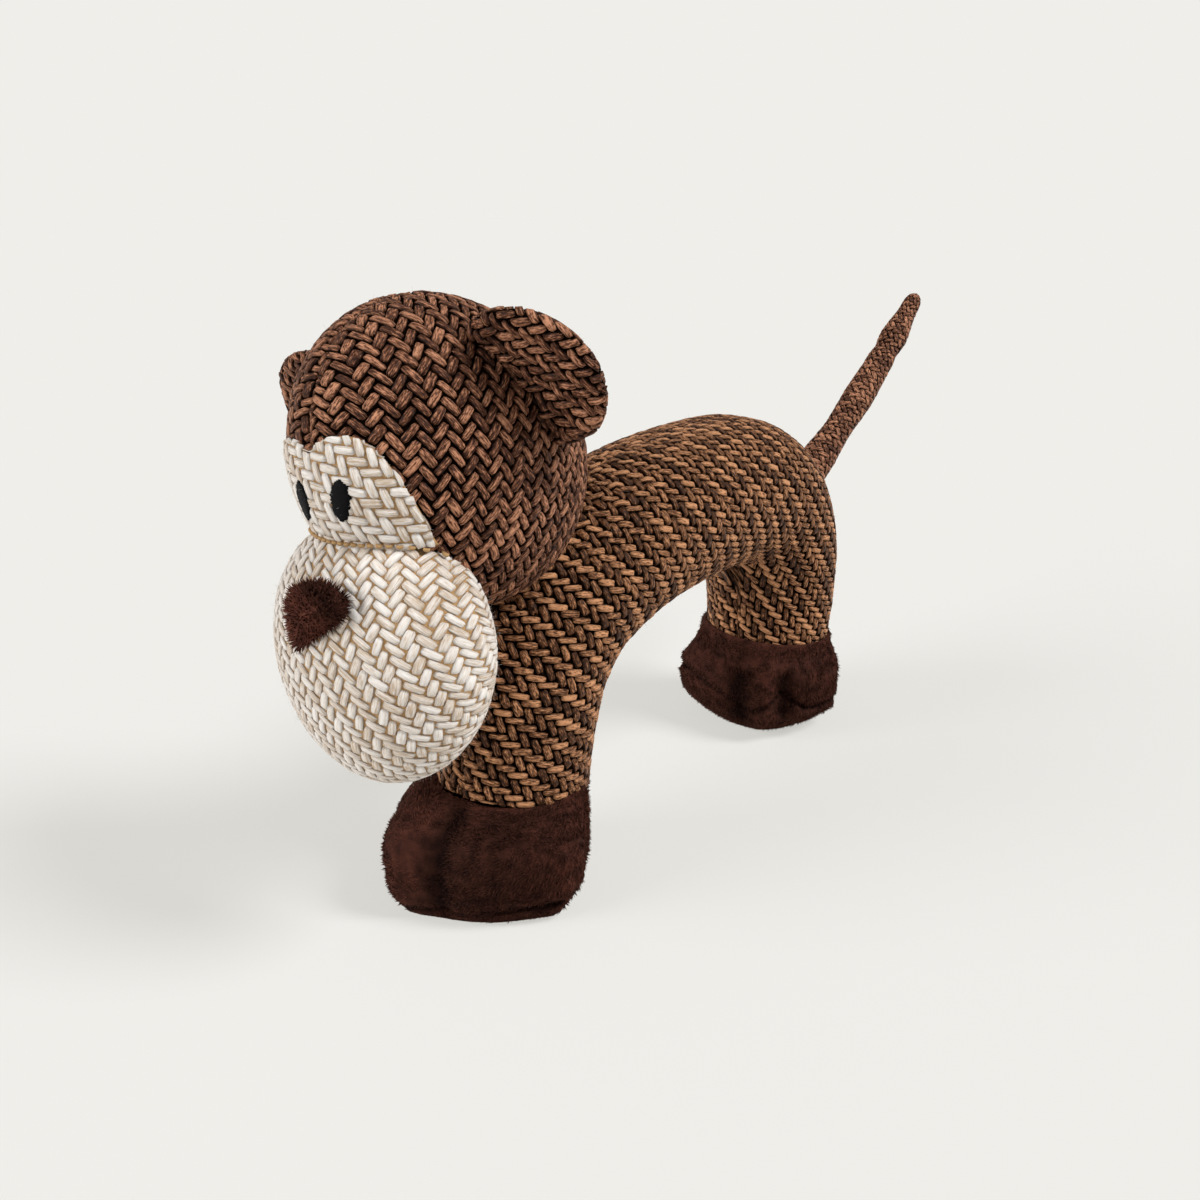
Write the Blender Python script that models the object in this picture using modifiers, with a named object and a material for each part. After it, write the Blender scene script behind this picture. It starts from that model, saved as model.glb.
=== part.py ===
"""A stuffed monkey toy that stands on two plush feet.

Its body is one thick tube of woven cloth, bent into an arch: front leg, back and rear leg. A domed head with
a face patch, a muzzle and two padded ears is sewn to the shoulder, and a thin tail to the rump.
Metres, +Z up. The toy faces -Y and its left side is +X. The origin is under the middle of the toy's box.
"""

import math

import bmesh
import bpy
from mathutils import Matrix, Vector

# Cloth, seams and clearance
CLOTH = 0.0012
PLUSH = 0.0018
GAP = 0.0003

# Arch: two legs and the back, as heights, diameters and places of the tube's middle line
STANCE = 0.1315
ANKLE_HEIGHT = 0.0285
SPINE_HEIGHT = 0.082
FRONT_LEG_DIAMETER = 0.038
REAR_LEG_DIAMETER = 0.0395
TORSO_DIAMETER = 0.0445
FRONT_LEG_SETBACK = 0.009
REAR_LEG_SETBACK = 0.002
SHOULDER_SHARES = ((0.015, 0.28), (0.045, 0.55), (0.12, 0.78), (0.24, 0.90), (0.39, 0.98))
RUMP_SHARES = ((0.59, 1.01), (0.77, 0.99), (0.90, 0.86), (0.98, 0.60), (1.005, 0.30))
SHOULDER_SWELL_SHARES = (0.25, 0.60, 0.93, 0.95, 1.0)
RUMP_SWELL_SHARES = (1.0, 1.02, 1.0, 0.75, 0.35)

# Feet
FOOT_WIDTH = 0.0505
FOOT_LENGTH = 0.0505
SOLE_HEIGHT = 0.0075
FOOT_SQUARENESS_SHARE = 0.96
FOOT_FLARE_SHARES = ((1.0, 0.0), (0.92, 0.46), (0.78, 0.78), (0.58, 0.96), (0.34, 1.0), (0.15, 0.98), (0.0, 0.95))
SOLE_SPREAD_SHARES = ((1.0, 0.975), (0.50, 0.91), (0.15, 0.80), (0.0, 0.70))

# Head, which leans its crown forward and is tilted a little to the toy's right
HEAD_WIDTH = 0.053
HEAD_LENGTH = 0.070
HEAD_HEIGHT = 0.069
HEAD_FORWARD = 0.017
NECK_SINK = 0.0273
HEAD_LEAN_SHARE = 0.12
HEAD_TILT = 9
TILT_ARM = 0.011
NOD_SHARE = 0.31
NOD_BACK = 12

# Face patch
PATCH_WIDTH = 0.036
PATCH_RISE = 0.009
PATCH_DIP = 0.005

# Muzzle
MUZZLE_WIDTH = 0.054
MUZZLE_LENGTH = 0.039
MUZZLE_HEIGHT = 0.059
MUZZLE_PROUD = 0.0065
MUZZLE_OVERLAP = 0.026

# Nose and eyes
NOSE_WIDTH = 0.021
NOSE_HEIGHT = 0.0165
NOSE_DEPTH = 0.0075
NOSE_RISE = 0.0125
NOSE_POINT_SHARE = 0.32
EYE_WIDTH = 0.0043
EYE_HEIGHT = 0.0083
EYE_DEPTH = 0.0032
EYE_SPACING = 0.011
EYE_DROP = 0.003

# Ears
EAR_HEIGHT = 0.033
EAR_REACH = 0.0215
EAR_SINK = 0.014
EAR_THICKNESS = 0.0056
EAR_CUP = 0.0045
EAR_ROOT_SHARES = (0.936, 0.14, 0.426)
EAR_LEAN = 20
EAR_TURN = 10
EAR_SLANT = 32
EAR_SWING = 12

# Tail
TAIL_LENGTH = 0.094
TAIL_ROOT_DIAMETER = 0.0110
TAIL_WAIST_DIAMETER = 0.0082
TAIL_TIP_DIAMETER = 0.0096
TAIL_SHARE = 0.80
TAIL_RISE = 28
TAIL_CURL = 12

# Fineness of the faceted surfaces
TUBE_SIDES = 16
TUBE_STATIONS = 24
FOOT_SIDES = 20
EAR_SIDES = 20
EAR_RINGS = 4
TAIL_SIDES = 10
TAIL_STATIONS = 10
TAIL_END_RINGS = 3
PATCH_CORNERS = 8
BALL_SIDES = 20
BALL_RINGS = 14
SMALL_SIDES = 14
SMALL_RINGS = 8
EDGE_SHARE = 0.01
SWEEP_STEPS = 3

CLOTH_COLOUR = (0.16, 0.075, 0.04, 1)
CREAM_COLOUR = (0.70, 0.64, 0.54, 1)
PLUSH_COLOUR = (0.035, 0.018, 0.014, 1)
THREAD_COLOUR = (0.006, 0.006, 0.006, 1)
FILLING_COLOUR = (0.86, 0.85, 0.82, 1)
CLOTH_ROUGHNESS = 0.85
PLUSH_ROUGHNESS = 0.95
THREAD_ROUGHNESS = 0.4
SMOOTH_ANGLE = 50

ACROSS = Vector((1, 0, 0))
UP = Vector((0, 0, 1))


def clear_scene():
    """Remove whatever the file holds before the toy is made."""
    for old in list(bpy.data.objects):
        bpy.data.objects.remove(old, do_unlink=True)


def collection(name):
    """Return a collection linked to the scene."""
    group = bpy.data.collections.new(name)
    bpy.context.scene.collection.children.link(group)
    return group


def material(name, colour, roughness):
    """Return a plain cloth material."""
    finish = bpy.data.materials.new(name)
    finish.use_nodes = True
    shader = finish.node_tree.nodes["Principled BSDF"]
    shader.inputs["Base Color"].default_value = colour
    shader.inputs["Roughness"].default_value = roughness
    shader.inputs["Metallic"].default_value = 0
    return finish


def hinge(name, place, group, carrier):
    """Return an empty on a joint's axis, carried by another empty, for the pieces that turn there."""
    axis = bpy.data.objects.new(name, None)
    group.objects.link(axis)
    axis.location = place
    axis.empty_display_size = GAP
    hang(axis, carrier)
    return axis


def hang(item, carrier):
    """Parent an object to an empty where both stand."""
    if carrier:
        item.parent = carrier
        bpy.context.view_layer.update()
        item.matrix_parent_inverse = carrier.matrix_world.inverted()


def link(name, mesh, group, carrier, finish=None):
    """Return an object for the mesh, hung on its empty: a piece with its material, or a cutter without one."""
    item = bpy.data.objects.new(name, mesh)
    group.objects.link(item)
    hang(item, carrier)
    if finish:
        mesh.materials.append(finish)
        mesh.shade_smooth()
        mesh.set_sharp_from_angle(angle=math.radians(SMOOTH_ANGLE))
    else:
        item.hide_render = True
        item.display_type = "WIRE"
    return item


def loft(name, rings, capped=True):
    """Join rings of points into one closed mesh, capped at its ends or run round into itself."""
    shape = bmesh.new()
    rows = [[shape.verts.new(point) for point in points] for points in rings]
    following = rows[1:] if capped else rows[1:] + rows[:1]
    for row, after in zip(rows, following):
        for i in range(len(row)):
            j = (i + 1) % len(row)
            shape.faces.new((row[i], row[j], after[j], after[i]))
    if capped:
        shape.faces.new(list(reversed(rows[0])))
        shape.faces.new(rows[-1])
    bmesh.ops.recalc_face_normals(shape, faces=shape.faces)
    mesh = bpy.data.meshes.new(name)
    shape.to_mesh(mesh)
    shape.free()
    return mesh


def ball(name, centre, radii, shaping=None, keep=None, sides=BALL_SIDES, rings=BALL_RINGS):
    """Return an ellipsoid mesh about a centre: the unit sphere, bent by a shaping function, and open where
    the keep function drops its points."""
    shape = bmesh.new()
    bmesh.ops.create_uvsphere(shape, u_segments=sides, v_segments=rings, radius=1)
    if keep:
        dropped = [vert for vert in shape.verts if not keep(vert.co)]
        bmesh.ops.delete(shape, geom=dropped, context="VERTS")
    for vert in shape.verts:
        unit = shaping(vert.co) if shaping else vert.co
        vert.co = centre + Vector(unit[axis] * radii[axis] for axis in range(len(radii)))
    mesh = bpy.data.meshes.new(name)
    shape.to_mesh(mesh)
    shape.free()
    return mesh


def walled(item):
    """Give an open surface a cloth's wall on its inner side."""
    wall = item.modifiers.new("wall", "SOLIDIFY")
    wall.thickness = CLOTH
    wall.offset = -1
    return item


def cut(item, cutter, operation="DIFFERENCE"):
    """Cut an object by another with an exact Boolean."""
    modifier = item.modifiers.new(f"by_{cutter.name}", "BOOLEAN")
    modifier.operation = operation
    modifier.solver = "EXACT"
    modifier.object = cutter


def turned(mesh, name, pivot, axis, degrees):
    """Return a copy of a mesh turned about an axis through the pivot."""
    copy = mesh.copy()
    copy.name = name
    turn = Matrix.Rotation(math.radians(degrees), 4, axis)
    copy.transform(Matrix.Translation(pivot) @ turn @ Matrix.Translation(-pivot))
    return copy


def smooth(table, share):
    """Read a smooth curve through rows of numbers at a share of its length, by Catmull-Rom."""
    spans = len(table) - 1
    place = min(max(share, 0), 1) * spans
    span = min(int(place), spans - 1)
    t = place - span
    first, last = table[0], table[-1]
    before = table[span - 1] if span else [2 * a - b for a, b in zip(first, table[1])]
    after = table[span + 2] if span + 2 < len(table) else [2 * a - b for a, b in zip(last, table[-2])]
    rows = zip(before, table[span], table[span + 1], after)
    return [0.5 * (2 * b + (c - a) * t + (2 * a - 5 * b + 4 * c - d) * t ** 2
                   + (3 * b - a - 3 * c + d) * t ** 3) for a, b, c, d in rows]


def arch_table():
    """Rows of y, z and radius along the tube's middle line, from the front ankle to the rear ankle."""
    rise = SPINE_HEIGHT - ANKLE_HEIGHT
    front = Vector((FRONT_LEG_SETBACK, ANKLE_HEIGHT, FRONT_LEG_DIAMETER / 2))
    rear = Vector((STANCE + REAR_LEG_SETBACK, ANKLE_HEIGHT, REAR_LEG_DIAMETER / 2))
    length = rear.x - front.x
    rows = [front]
    for start, places, swells in ((front, SHOULDER_SHARES, SHOULDER_SWELL_SHARES),
                                  (rear, RUMP_SHARES, RUMP_SWELL_SHARES)):
        for (along, height), swell in zip(places, swells):
            radius = start.z + (TORSO_DIAMETER / 2 - start.z) * swell
            rows.append(Vector((front.x + length * along, ANKLE_HEIGHT + rise * height, radius)))
    rows.append(rear)
    return rows


def arch_frame(share):
    """Return the middle point, the outward direction and the radius of the tube at a share of its length."""
    table = arch_table()
    y, z, radius = smooth(table, share)
    step = 0.5 / TUBE_STATIONS
    y0, z0, _ = smooth(table, share - step)
    y1, z1, _ = smooth(table, share + step)
    outward = Vector((0, z0 - z1, y1 - y0)).normalized()
    if share in (0, 1):
        outward = Vector((0, -1 if share == 0 else 1, 0))
    return Vector((0, y, z)), outward, radius


def arch_rings(inset):
    """Full rings round the tube, a cloth's depth or a clearance inside its outer surface."""
    rings = []
    for station in range(TUBE_STATIONS + 1):
        middle, outward, radius = arch_frame(station / TUBE_STATIONS)
        turns = [math.tau * i / TUBE_SIDES for i in range(TUBE_SIDES)]
        rings.append([middle + (radius - inset) * (ACROSS * math.sin(t) + outward * math.cos(t)) for t in turns])
    return rings


def panel_rings(side):
    """Half rings of one body panel: out along the cloth's outer face and back along its inner face."""
    rings = []
    half = TUBE_SIDES // 2
    for station in range(TUBE_STATIONS + 1):
        middle, outward, radius = arch_frame(station / TUBE_STATIONS)
        points = []
        for inset, order in ((0, range(half + 1)), (CLOTH, reversed(range(half + 1)))):
            for i in order:
                turn = math.pi * i / half
                wide = GAP / 2 + (radius - inset - GAP / 2) * math.sin(turn)
                points.append(middle + side * wide * ACROSS + (radius - inset) * math.cos(turn) * outward)
        rings.append(points)
    return rings


def make_body(group, toy, cloth, filling):
    """Sew two mirror panels round the arch's stuffing."""
    for name, side in (("body_left_panel", 1), ("body_right_panel", -1)):
        link(name, loft(name, panel_rings(side)), group, toy, cloth)
    link("body_stuffing", loft("body_stuffing", arch_rings(CLOTH + GAP)), group, toy, filling)


def foot_ring(middle_y, half_width, half_length, power, height):
    """One level ring of a foot: an oval, or a rounded square where the power is under 1."""
    points = []
    for i in range(FOOT_SIDES):
        turn = math.tau * i / FOOT_SIDES
        wide = math.copysign(abs(math.sin(turn)) ** power, math.sin(turn))
        long = math.copysign(abs(math.cos(turn)) ** power, math.cos(turn))
        points.append(Vector((half_width * wide, middle_y + half_length * long, height)))
    return points


def upper_rings(middle_y, leg, inset):
    """Rings down a foot's upper, from the leg's round end to the seam of the sole."""
    rings = []
    for share, flare in FOOT_FLARE_SHARES:
        height = SOLE_HEIGHT + (ANKLE_HEIGHT - GAP - SOLE_HEIGHT) * share
        middle = middle_y * flare + leg.x * (1 - flare)
        half_width = FOOT_WIDTH / 2 * flare + leg.z * (1 - flare) - inset
        half_length = FOOT_LENGTH / 2 * flare + leg.z * (1 - flare) - inset
        power = FOOT_SQUARENESS_SHARE * flare + (1 - flare)
        rings.append(foot_ring(middle, half_width, half_length, power, height))
    return rings


def sole_rings(middle_y, inset):
    """Rings down a foot's sole, from its seam to the tread, no lower than the inset."""
    return [foot_ring(middle_y, FOOT_WIDTH / 2 * share - inset, FOOT_LENGTH / 2 * share - inset,
                      FOOT_SQUARENESS_SHARE, max((SOLE_HEIGHT - GAP) * height, inset))
            for height, share in SOLE_SPREAD_SHARES]


def make_foot(prefix, middle_y, leg, group, toy, plush, filling):
    """Make a plush upper, a dished sole with a flat tread, and the stuffing between them."""
    name = f"{prefix}_foot_upper"
    rings = upper_rings(middle_y, leg, 0) + upper_rings(middle_y, leg, PLUSH)[::-1]
    link(name, loft(name, rings, capped=False), group, toy, plush)
    name = f"{prefix}_foot_sole"
    rings = sole_rings(middle_y, PLUSH)[-2::-1] + sole_rings(middle_y, 0)
    link(name, loft(name, rings), group, toy, plush)
    name = f"{prefix}_foot_stuffing"
    rings = upper_rings(middle_y, leg, PLUSH + GAP) + sole_rings(middle_y, PLUSH + GAP)[:-1]
    link(name, loft(name, rings), group, toy, filling)


def head_middle():
    """The middle of the head's egg, which sinks below the top of the back by a neck's depth."""
    back_top = SPINE_HEIGHT + TORSO_DIAMETER / 2
    return Vector((0, FRONT_LEG_SETBACK - HEAD_FORWARD, back_top + HEAD_HEIGHT / 2 - NECK_SINK))


def tilt():
    """The head's tilt to the toy's right, about a point below its middle, as a matrix."""
    pivot = head_middle() - UP * TILT_ARM
    turn = Matrix.Rotation(math.radians(-HEAD_TILT), 4, "Y")
    return Matrix.Translation(pivot) @ turn @ Matrix.Translation(-pivot)


def tilted(mesh):
    """Give a mesh the head's tilt."""
    mesh.transform(tilt())
    return mesh


def egg(unit):
    """Lean the head's crown forward and its underside back over the shoulder."""
    return Vector((unit.x, unit.y - HEAD_LEAN_SHARE * unit.z, unit.z))


def on_head(unit):
    """A point of the head's surface, before the tilt, from its point on the unit sphere."""
    radii = (HEAD_WIDTH / 2, HEAD_LENGTH / 2, HEAD_HEIGHT / 2)
    return head_middle() + Vector(share * radius for share, radius in zip(egg(unit), radii))


def head_mesh(name, inset, side=0, keep=None):
    """The head's egg at a depth inside its outer surface, or one side's half of it, held off the middle."""
    off = side * GAP
    radii = (HEAD_WIDTH / 2 - inset - abs(off), HEAD_LENGTH / 2 - inset, HEAD_HEIGHT / 2 - inset)
    return tilted(ball(name, head_middle() + ACROSS * off, radii, egg, keep))


def muzzle_middle():
    """The middle of the muzzle, which stands proud of the head and hangs from its underside."""
    forward = (HEAD_LENGTH - MUZZLE_LENGTH) / 2 + MUZZLE_PROUD
    drop = (HEAD_HEIGHT + MUZZLE_HEIGHT) / 2 - MUZZLE_OVERLAP
    return head_middle() - Vector((0, forward, drop))


def muzzle_mesh(name, inset):
    """The muzzle's egg, at a depth inside its outer surface."""
    radii = (MUZZLE_WIDTH / 2 - inset, MUZZLE_LENGTH / 2 - inset, MUZZLE_HEIGHT / 2 - inset)
    return ball(name, muzzle_middle(), radii)


def patch_cutter(name, grow, group, toy):
    """A cutter for the face patch: two lobes with a dip between them, open to the muzzle below."""
    half = PATCH_WIDTH / 2 + grow
    middle = head_middle().z
    top = middle + PATCH_RISE + grow
    dip = middle + PATCH_DIP + grow
    outline = [(half, muzzle_middle().z)]
    for i in range(PATCH_CORNERS):
        turn = math.pi * i / PATCH_CORNERS
        foot = dip if i > PATCH_CORNERS / 2 else middle - PATCH_RISE
        outline.append((half / 2 * (1 + math.cos(turn)), foot + (top - foot) * math.sin(turn)))
    outline.append((GAP, dip))
    outline += [(-x, z) for x, z in reversed(outline)]
    back = muzzle_middle().y + grow
    rings = [[Vector((x, y, z)) for x, z in outline] for y in (back, back - HEAD_LENGTH)]
    return link(name, tilted(loft(name, rings)), group, toy)


def nod_pivot():
    """A point on the nod axis, where the back of the head is sewn to the top of the tube."""
    middle, outward, radius = arch_frame(NOD_SHARE)
    return middle + outward * radius


def make_head(group, cutters, toy, nod, cloth, cream, filling):
    """Make the head's two panels, its face patch, its muzzle and the stuffing of both.

    The head is cut where the body passes as it nods, and the head and the muzzle are open to each other.
    """
    body = loft("body_clearance", arch_rings(-GAP))
    swept = []
    for i in range(SWEEP_STEPS):
        name = f"body_clearance_{i}"
        back = NOD_BACK * i / (SWEEP_STEPS - 1)
        swept.append(link(name, turned(body, name, nod_pivot(), ACROSS, back), cutters, toy))
    head_inside = link("head_inside", head_mesh("head_inside", CLOTH), cutters, toy)
    around_head = link("head_clearance", head_mesh("head_clearance", -GAP), cutters, toy)
    muzzle_inside = link("muzzle_inside", muzzle_mesh("muzzle_inside", CLOTH), cutters, toy)
    around_muzzle = link("muzzle_clearance", muzzle_mesh("muzzle_clearance", -GAP), cutters, toy)
    patch = patch_cutter("patch_edge", 0, cutters, toy)
    around_patch = patch_cutter("patch_clearance", GAP, cutters, toy)

    for name, side in (("head_left_panel", 1), ("head_right_panel", -1)):
        half = head_mesh(name, 0, side, lambda unit: unit.x * side > -EDGE_SHARE)
        panel = walled(link(name, half, group, nod, cloth))
        for cutter in [around_patch, around_muzzle] + swept:
            cut(panel, cutter)
    front = head_mesh("face_patch", 0, keep=lambda unit: unit.y < EDGE_SHARE)
    face = walled(link("face_patch", front, group, nod, cream))
    cut(face, patch, "INTERSECT")
    cut(face, around_muzzle)

    muzzle = link("muzzle_cover", muzzle_mesh("muzzle_cover", 0), group, nod, cream)
    for cutter in [muzzle_inside, around_head] + swept:
        cut(muzzle, cutter)

    stuffing = link("head_stuffing", head_mesh("head_stuffing", CLOTH + GAP), group, nod, filling)
    for cutter in swept:
        cut(stuffing, cutter)
    stuffing = link("muzzle_stuffing", muzzle_mesh("muzzle_stuffing", CLOTH + GAP), group, nod, filling)
    for cutter in [head_inside] + swept:
        cut(stuffing, cutter)
    return around_head, around_muzzle


def make_nose(group, nod, plush, around_muzzle):
    """Make the nose, a padded triangle with round corners and its point down, seated on the muzzle."""
    forward = MUZZLE_LENGTH / 2 * math.sqrt(1 - (NOSE_RISE / (MUZZLE_HEIGHT / 2)) ** 2)
    middle = muzzle_middle() + Vector((0, -forward, NOSE_RISE))

    def triangle(unit):
        taper = (1 + NOSE_POINT_SHARE + (1 - NOSE_POINT_SHARE) * math.sin(unit.z * math.pi / 2)) / 2
        return Vector((unit.x * taper, unit.y, unit.z))

    radii = (NOSE_WIDTH / 2, NOSE_DEPTH / 2, NOSE_HEIGHT / 2)
    mesh = ball("nose", middle, radii, triangle, sides=SMALL_SIDES, rings=SMALL_RINGS)
    cut(link("nose", mesh, group, nod, plush), around_muzzle)


def make_eyes(group, nod, thread, around_head):
    """Make the two eyes, padded upright ovals seated on the face patch."""
    z_share = -EYE_DROP / (HEAD_HEIGHT / 2)
    x_share = EYE_SPACING / HEAD_WIDTH
    y_share = -math.sqrt(1 - z_share ** 2 - x_share ** 2)
    radii = (EYE_WIDTH / 2, EYE_DEPTH / 2, EYE_HEIGHT / 2)
    for name, side in (("left_eye", 1), ("right_eye", -1)):
        middle = on_head(Vector((side * x_share, y_share, z_share)))
        mesh = tilted(ball(name, middle, radii, sides=SMALL_SIDES, rings=SMALL_RINGS))
        cut(link(name, mesh, group, nod, thread), around_head)


def ear_axes(side):
    """The middle of an ear's sewn base, and its outward, forward and lengthwise directions, before the tilt."""
    across, back, up = EAR_ROOT_SHARES
    root = on_head(Vector((side * across, back, up)).normalized())
    lean, turn, slant = (math.radians(angle) for angle in (EAR_LEAN, EAR_TURN, EAR_SLANT))
    outward = Vector((side * math.cos(lean) * math.cos(turn), -math.sin(turn), math.sin(lean) * math.cos(turn)))
    upright = (UP - outward * outward.dot(UP)).normalized()
    along = Matrix.Rotation(side * slant, 3, outward) @ upright
    forward = outward.cross(along) * side
    return root, outward, forward, along


def ear_rings(side, face, inset):
    """Rings over an ear's front or back, from its rim to its middle: half a cupped pillow, at a depth inside."""
    root, outward, forward, along = ear_axes(side)
    half_reach = (EAR_REACH + EAR_SINK) / 2
    rings = []
    for i in range(EAR_RINGS):
        rise = math.pi / 2 * i / EAR_RINGS
        points = []
        for j in range(EAR_SIDES):
            turn = math.tau * j / EAR_SIDES
            out = half_reach - EAR_SINK + (half_reach - inset) * math.cos(rise) * math.cos(turn)
            up = (EAR_HEIGHT / 2 - inset) * math.cos(rise) * math.sin(turn)
            bend = EAR_CUP * ((out / EAR_REACH) ** 2 + (2 * up / EAR_HEIGHT) ** 2) / 2
            depth = bend + face * (GAP / 2 + (EAR_THICKNESS / 2 - inset) * math.sin(rise))
            points.append(tilt() @ (root + outward * out + along * up + forward * depth))
        rings.append(points)
    return rings


def ear_hinge(side):
    """The middle of an ear's hinge and its direction, with the head's tilt."""
    root, _, _, along = ear_axes(side)
    return tilt() @ root, tilt().to_3x3() @ along


def make_ear(prefix, side, group, cutters, toy, nod, cloth, filling):
    """Make an ear's front cloth, back cloth and padding, each cut where the head passes as the ear swings."""
    root, along = ear_hinge(side)
    swing = hinge(f"{prefix}_ear_hinge", root, group, nod)
    head = head_mesh("head_about_ear", -GAP)
    swept = []
    for i in range(SWEEP_STEPS):
        name = f"{prefix}_ear_clearance_{i}"
        degrees = EAR_SWING * (2 * i / (SWEEP_STEPS - 1) - 1)
        swept.append(link(name, turned(head, name, root, along, degrees), cutters, toy))
    pieces = []
    for name, face in ((f"{prefix}_ear_front", 1), (f"{prefix}_ear_back", -1)):
        rings = ear_rings(side, face, CLOTH)[::-1] + ear_rings(side, face, 0)
        pieces.append(link(name, loft(name, rings), group, swing, cloth))
    name = f"{prefix}_ear_padding"
    rings = ear_rings(side, -1, CLOTH + GAP)[::-1] + ear_rings(side, 1, CLOTH + GAP)
    pieces.append(link(name, loft(name, rings), group, swing, filling))
    for piece in pieces:
        for cutter in swept:
            cut(piece, cutter)


def tail_root():
    """The tail's hinge point, just off the rump."""
    middle, outward, radius = arch_frame(TAIL_SHARE)
    return middle + outward * (radius + GAP + TAIL_ROOT_DIAMETER / 2)


def tail_rings(inset):
    """Rings along the tail, from its round root end to its round tip."""
    root_radius = TAIL_ROOT_DIAMETER / 2
    waist = TAIL_WAIST_DIAMETER / 2
    tip_radius = TAIL_TIP_DIAMETER / 2
    length = TAIL_LENGTH - tip_radius
    widths = [[root_radius], [waist], [waist], [tip_radius]]
    turns = [math.pi / 2 * (i + 1 / 2) / TAIL_END_RINGS for i in range(TAIL_END_RINGS)]
    stations = [(-(root_radius - inset) * math.cos(turn), (root_radius - inset) * math.sin(turn))
                for turn in turns]
    stations += [(length * i / TAIL_STATIONS, smooth(widths, i / TAIL_STATIONS)[0] - inset)
                 for i in range(TAIL_STATIONS + 1)]
    stations += [(length + (tip_radius - inset) * math.cos(turn), (tip_radius - inset) * math.sin(turn))
                 for turn in reversed(turns)]
    rings = []
    middle = tail_root()
    reached = 0
    for distance, radius in stations:
        step = (distance + reached) / 2
        rise = math.radians(TAIL_RISE + TAIL_CURL * max(step, 0) / length)
        middle = middle + (distance - reached) * Vector((0, math.cos(rise), math.sin(rise)))
        reached = distance
        face = math.radians(TAIL_RISE + TAIL_CURL * max(distance, 0) / length)
        normal = Vector((0, -math.sin(face), math.cos(face)))
        turns = [math.tau * i / TAIL_SIDES for i in range(TAIL_SIDES)]
        rings.append([middle + radius * (ACROSS * math.sin(t) + normal * math.cos(t)) for t in turns])
    return rings


def make_tail(group, toy, cloth, filling):
    """Make the tail's cover, open at the middle of its root end, and its filling."""
    wag = hinge("tail_hinge", tail_root(), group, toy)
    link("tail_cover", loft("tail_cover", tail_rings(CLOTH)[::-1] + tail_rings(0)), group, wag, cloth)
    link("tail_filling", loft("tail_filling", tail_rings(CLOTH + GAP)), group, wag, filling)


def centre(group, toy):
    """Move the toy so that the origin is under the middle of its box."""
    bpy.context.view_layer.update()
    graph = bpy.context.evaluated_depsgraph_get()
    pieces = [item for item in group.objects if item.type == "MESH"]
    corners = [item.matrix_world @ Vector(corner) for item in pieces
               for corner in item.evaluated_get(graph).bound_box]
    for axis in range(2):
        places = [corner[axis] for corner in corners]
        toy.location[axis] = -(min(places) + max(places)) / 2
    bpy.context.view_layer.update()


def main():
    """Make every piece of the toy."""
    clear_scene()
    group = collection("stuffed_monkey")
    cutters = collection("cutters")
    cloth = material("brown_cloth", CLOTH_COLOUR, CLOTH_ROUGHNESS)
    cream = material("cream_cloth", CREAM_COLOUR, CLOTH_ROUGHNESS)
    plush = material("dark_plush", PLUSH_COLOUR, PLUSH_ROUGHNESS)
    thread = material("eye_thread", THREAD_COLOUR, THREAD_ROUGHNESS)
    filling = material("fibre_filling", FILLING_COLOUR, PLUSH_ROUGHNESS)
    toy = hinge("toy", Vector(), group, None)
    nod = hinge("nod_hinge", nod_pivot(), group, toy)
    make_body(group, toy, cloth, filling)
    table = arch_table()
    make_foot("front", 0, table[0], group, toy, plush, filling)
    make_foot("rear", STANCE, table[-1], group, toy, plush, filling)
    around_head, around_muzzle = make_head(group, cutters, toy, nod, cloth, cream, filling)
    make_nose(group, nod, plush, around_muzzle)
    make_eyes(group, nod, thread, around_head)
    make_ear("left", 1, group, cutters, toy, nod, cloth, filling)
    make_ear("right", -1, group, cutters, toy, nod, cloth, filling)
    make_tail(group, toy, cloth, filling)
    centre(group, toy)


main()
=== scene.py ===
"""Looks of a stuffed monkey toy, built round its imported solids.

The toy is sewn from a coarse woven cloth: brown on its arched body, head, ears and tail, cream on its face
patch and muzzle. Its feet and nose are dark plush, and its eyes are satin stitched. Every cloth is made as a
panel, a surface on the toy with its place on the flat cut cloth, and a weave of yarn floats is laid on it.
Metres, +Z up. The toy faces -Y, and its left side is +X.
"""

import logging
import math
from dataclasses import dataclass, field
from enum import Enum

import bmesh
import bpy
import numpy as np
from mathutils import Matrix, Vector


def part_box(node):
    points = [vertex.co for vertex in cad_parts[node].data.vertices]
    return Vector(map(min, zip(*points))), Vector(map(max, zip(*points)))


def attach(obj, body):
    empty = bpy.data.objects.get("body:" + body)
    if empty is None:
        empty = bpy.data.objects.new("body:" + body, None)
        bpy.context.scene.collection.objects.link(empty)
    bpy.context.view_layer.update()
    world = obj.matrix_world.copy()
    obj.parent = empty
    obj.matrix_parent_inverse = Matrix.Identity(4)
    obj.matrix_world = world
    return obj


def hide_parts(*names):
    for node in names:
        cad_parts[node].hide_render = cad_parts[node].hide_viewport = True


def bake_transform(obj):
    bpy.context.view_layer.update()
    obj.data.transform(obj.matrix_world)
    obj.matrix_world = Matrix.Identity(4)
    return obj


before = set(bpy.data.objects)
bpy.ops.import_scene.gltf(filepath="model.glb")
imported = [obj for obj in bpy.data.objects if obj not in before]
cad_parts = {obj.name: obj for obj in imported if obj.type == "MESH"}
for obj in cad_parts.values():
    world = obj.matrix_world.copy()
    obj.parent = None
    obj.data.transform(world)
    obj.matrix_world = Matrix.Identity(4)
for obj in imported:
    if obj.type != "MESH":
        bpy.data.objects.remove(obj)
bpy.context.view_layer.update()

Array = np.ndarray
Colour = tuple[float, float, float]

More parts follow.
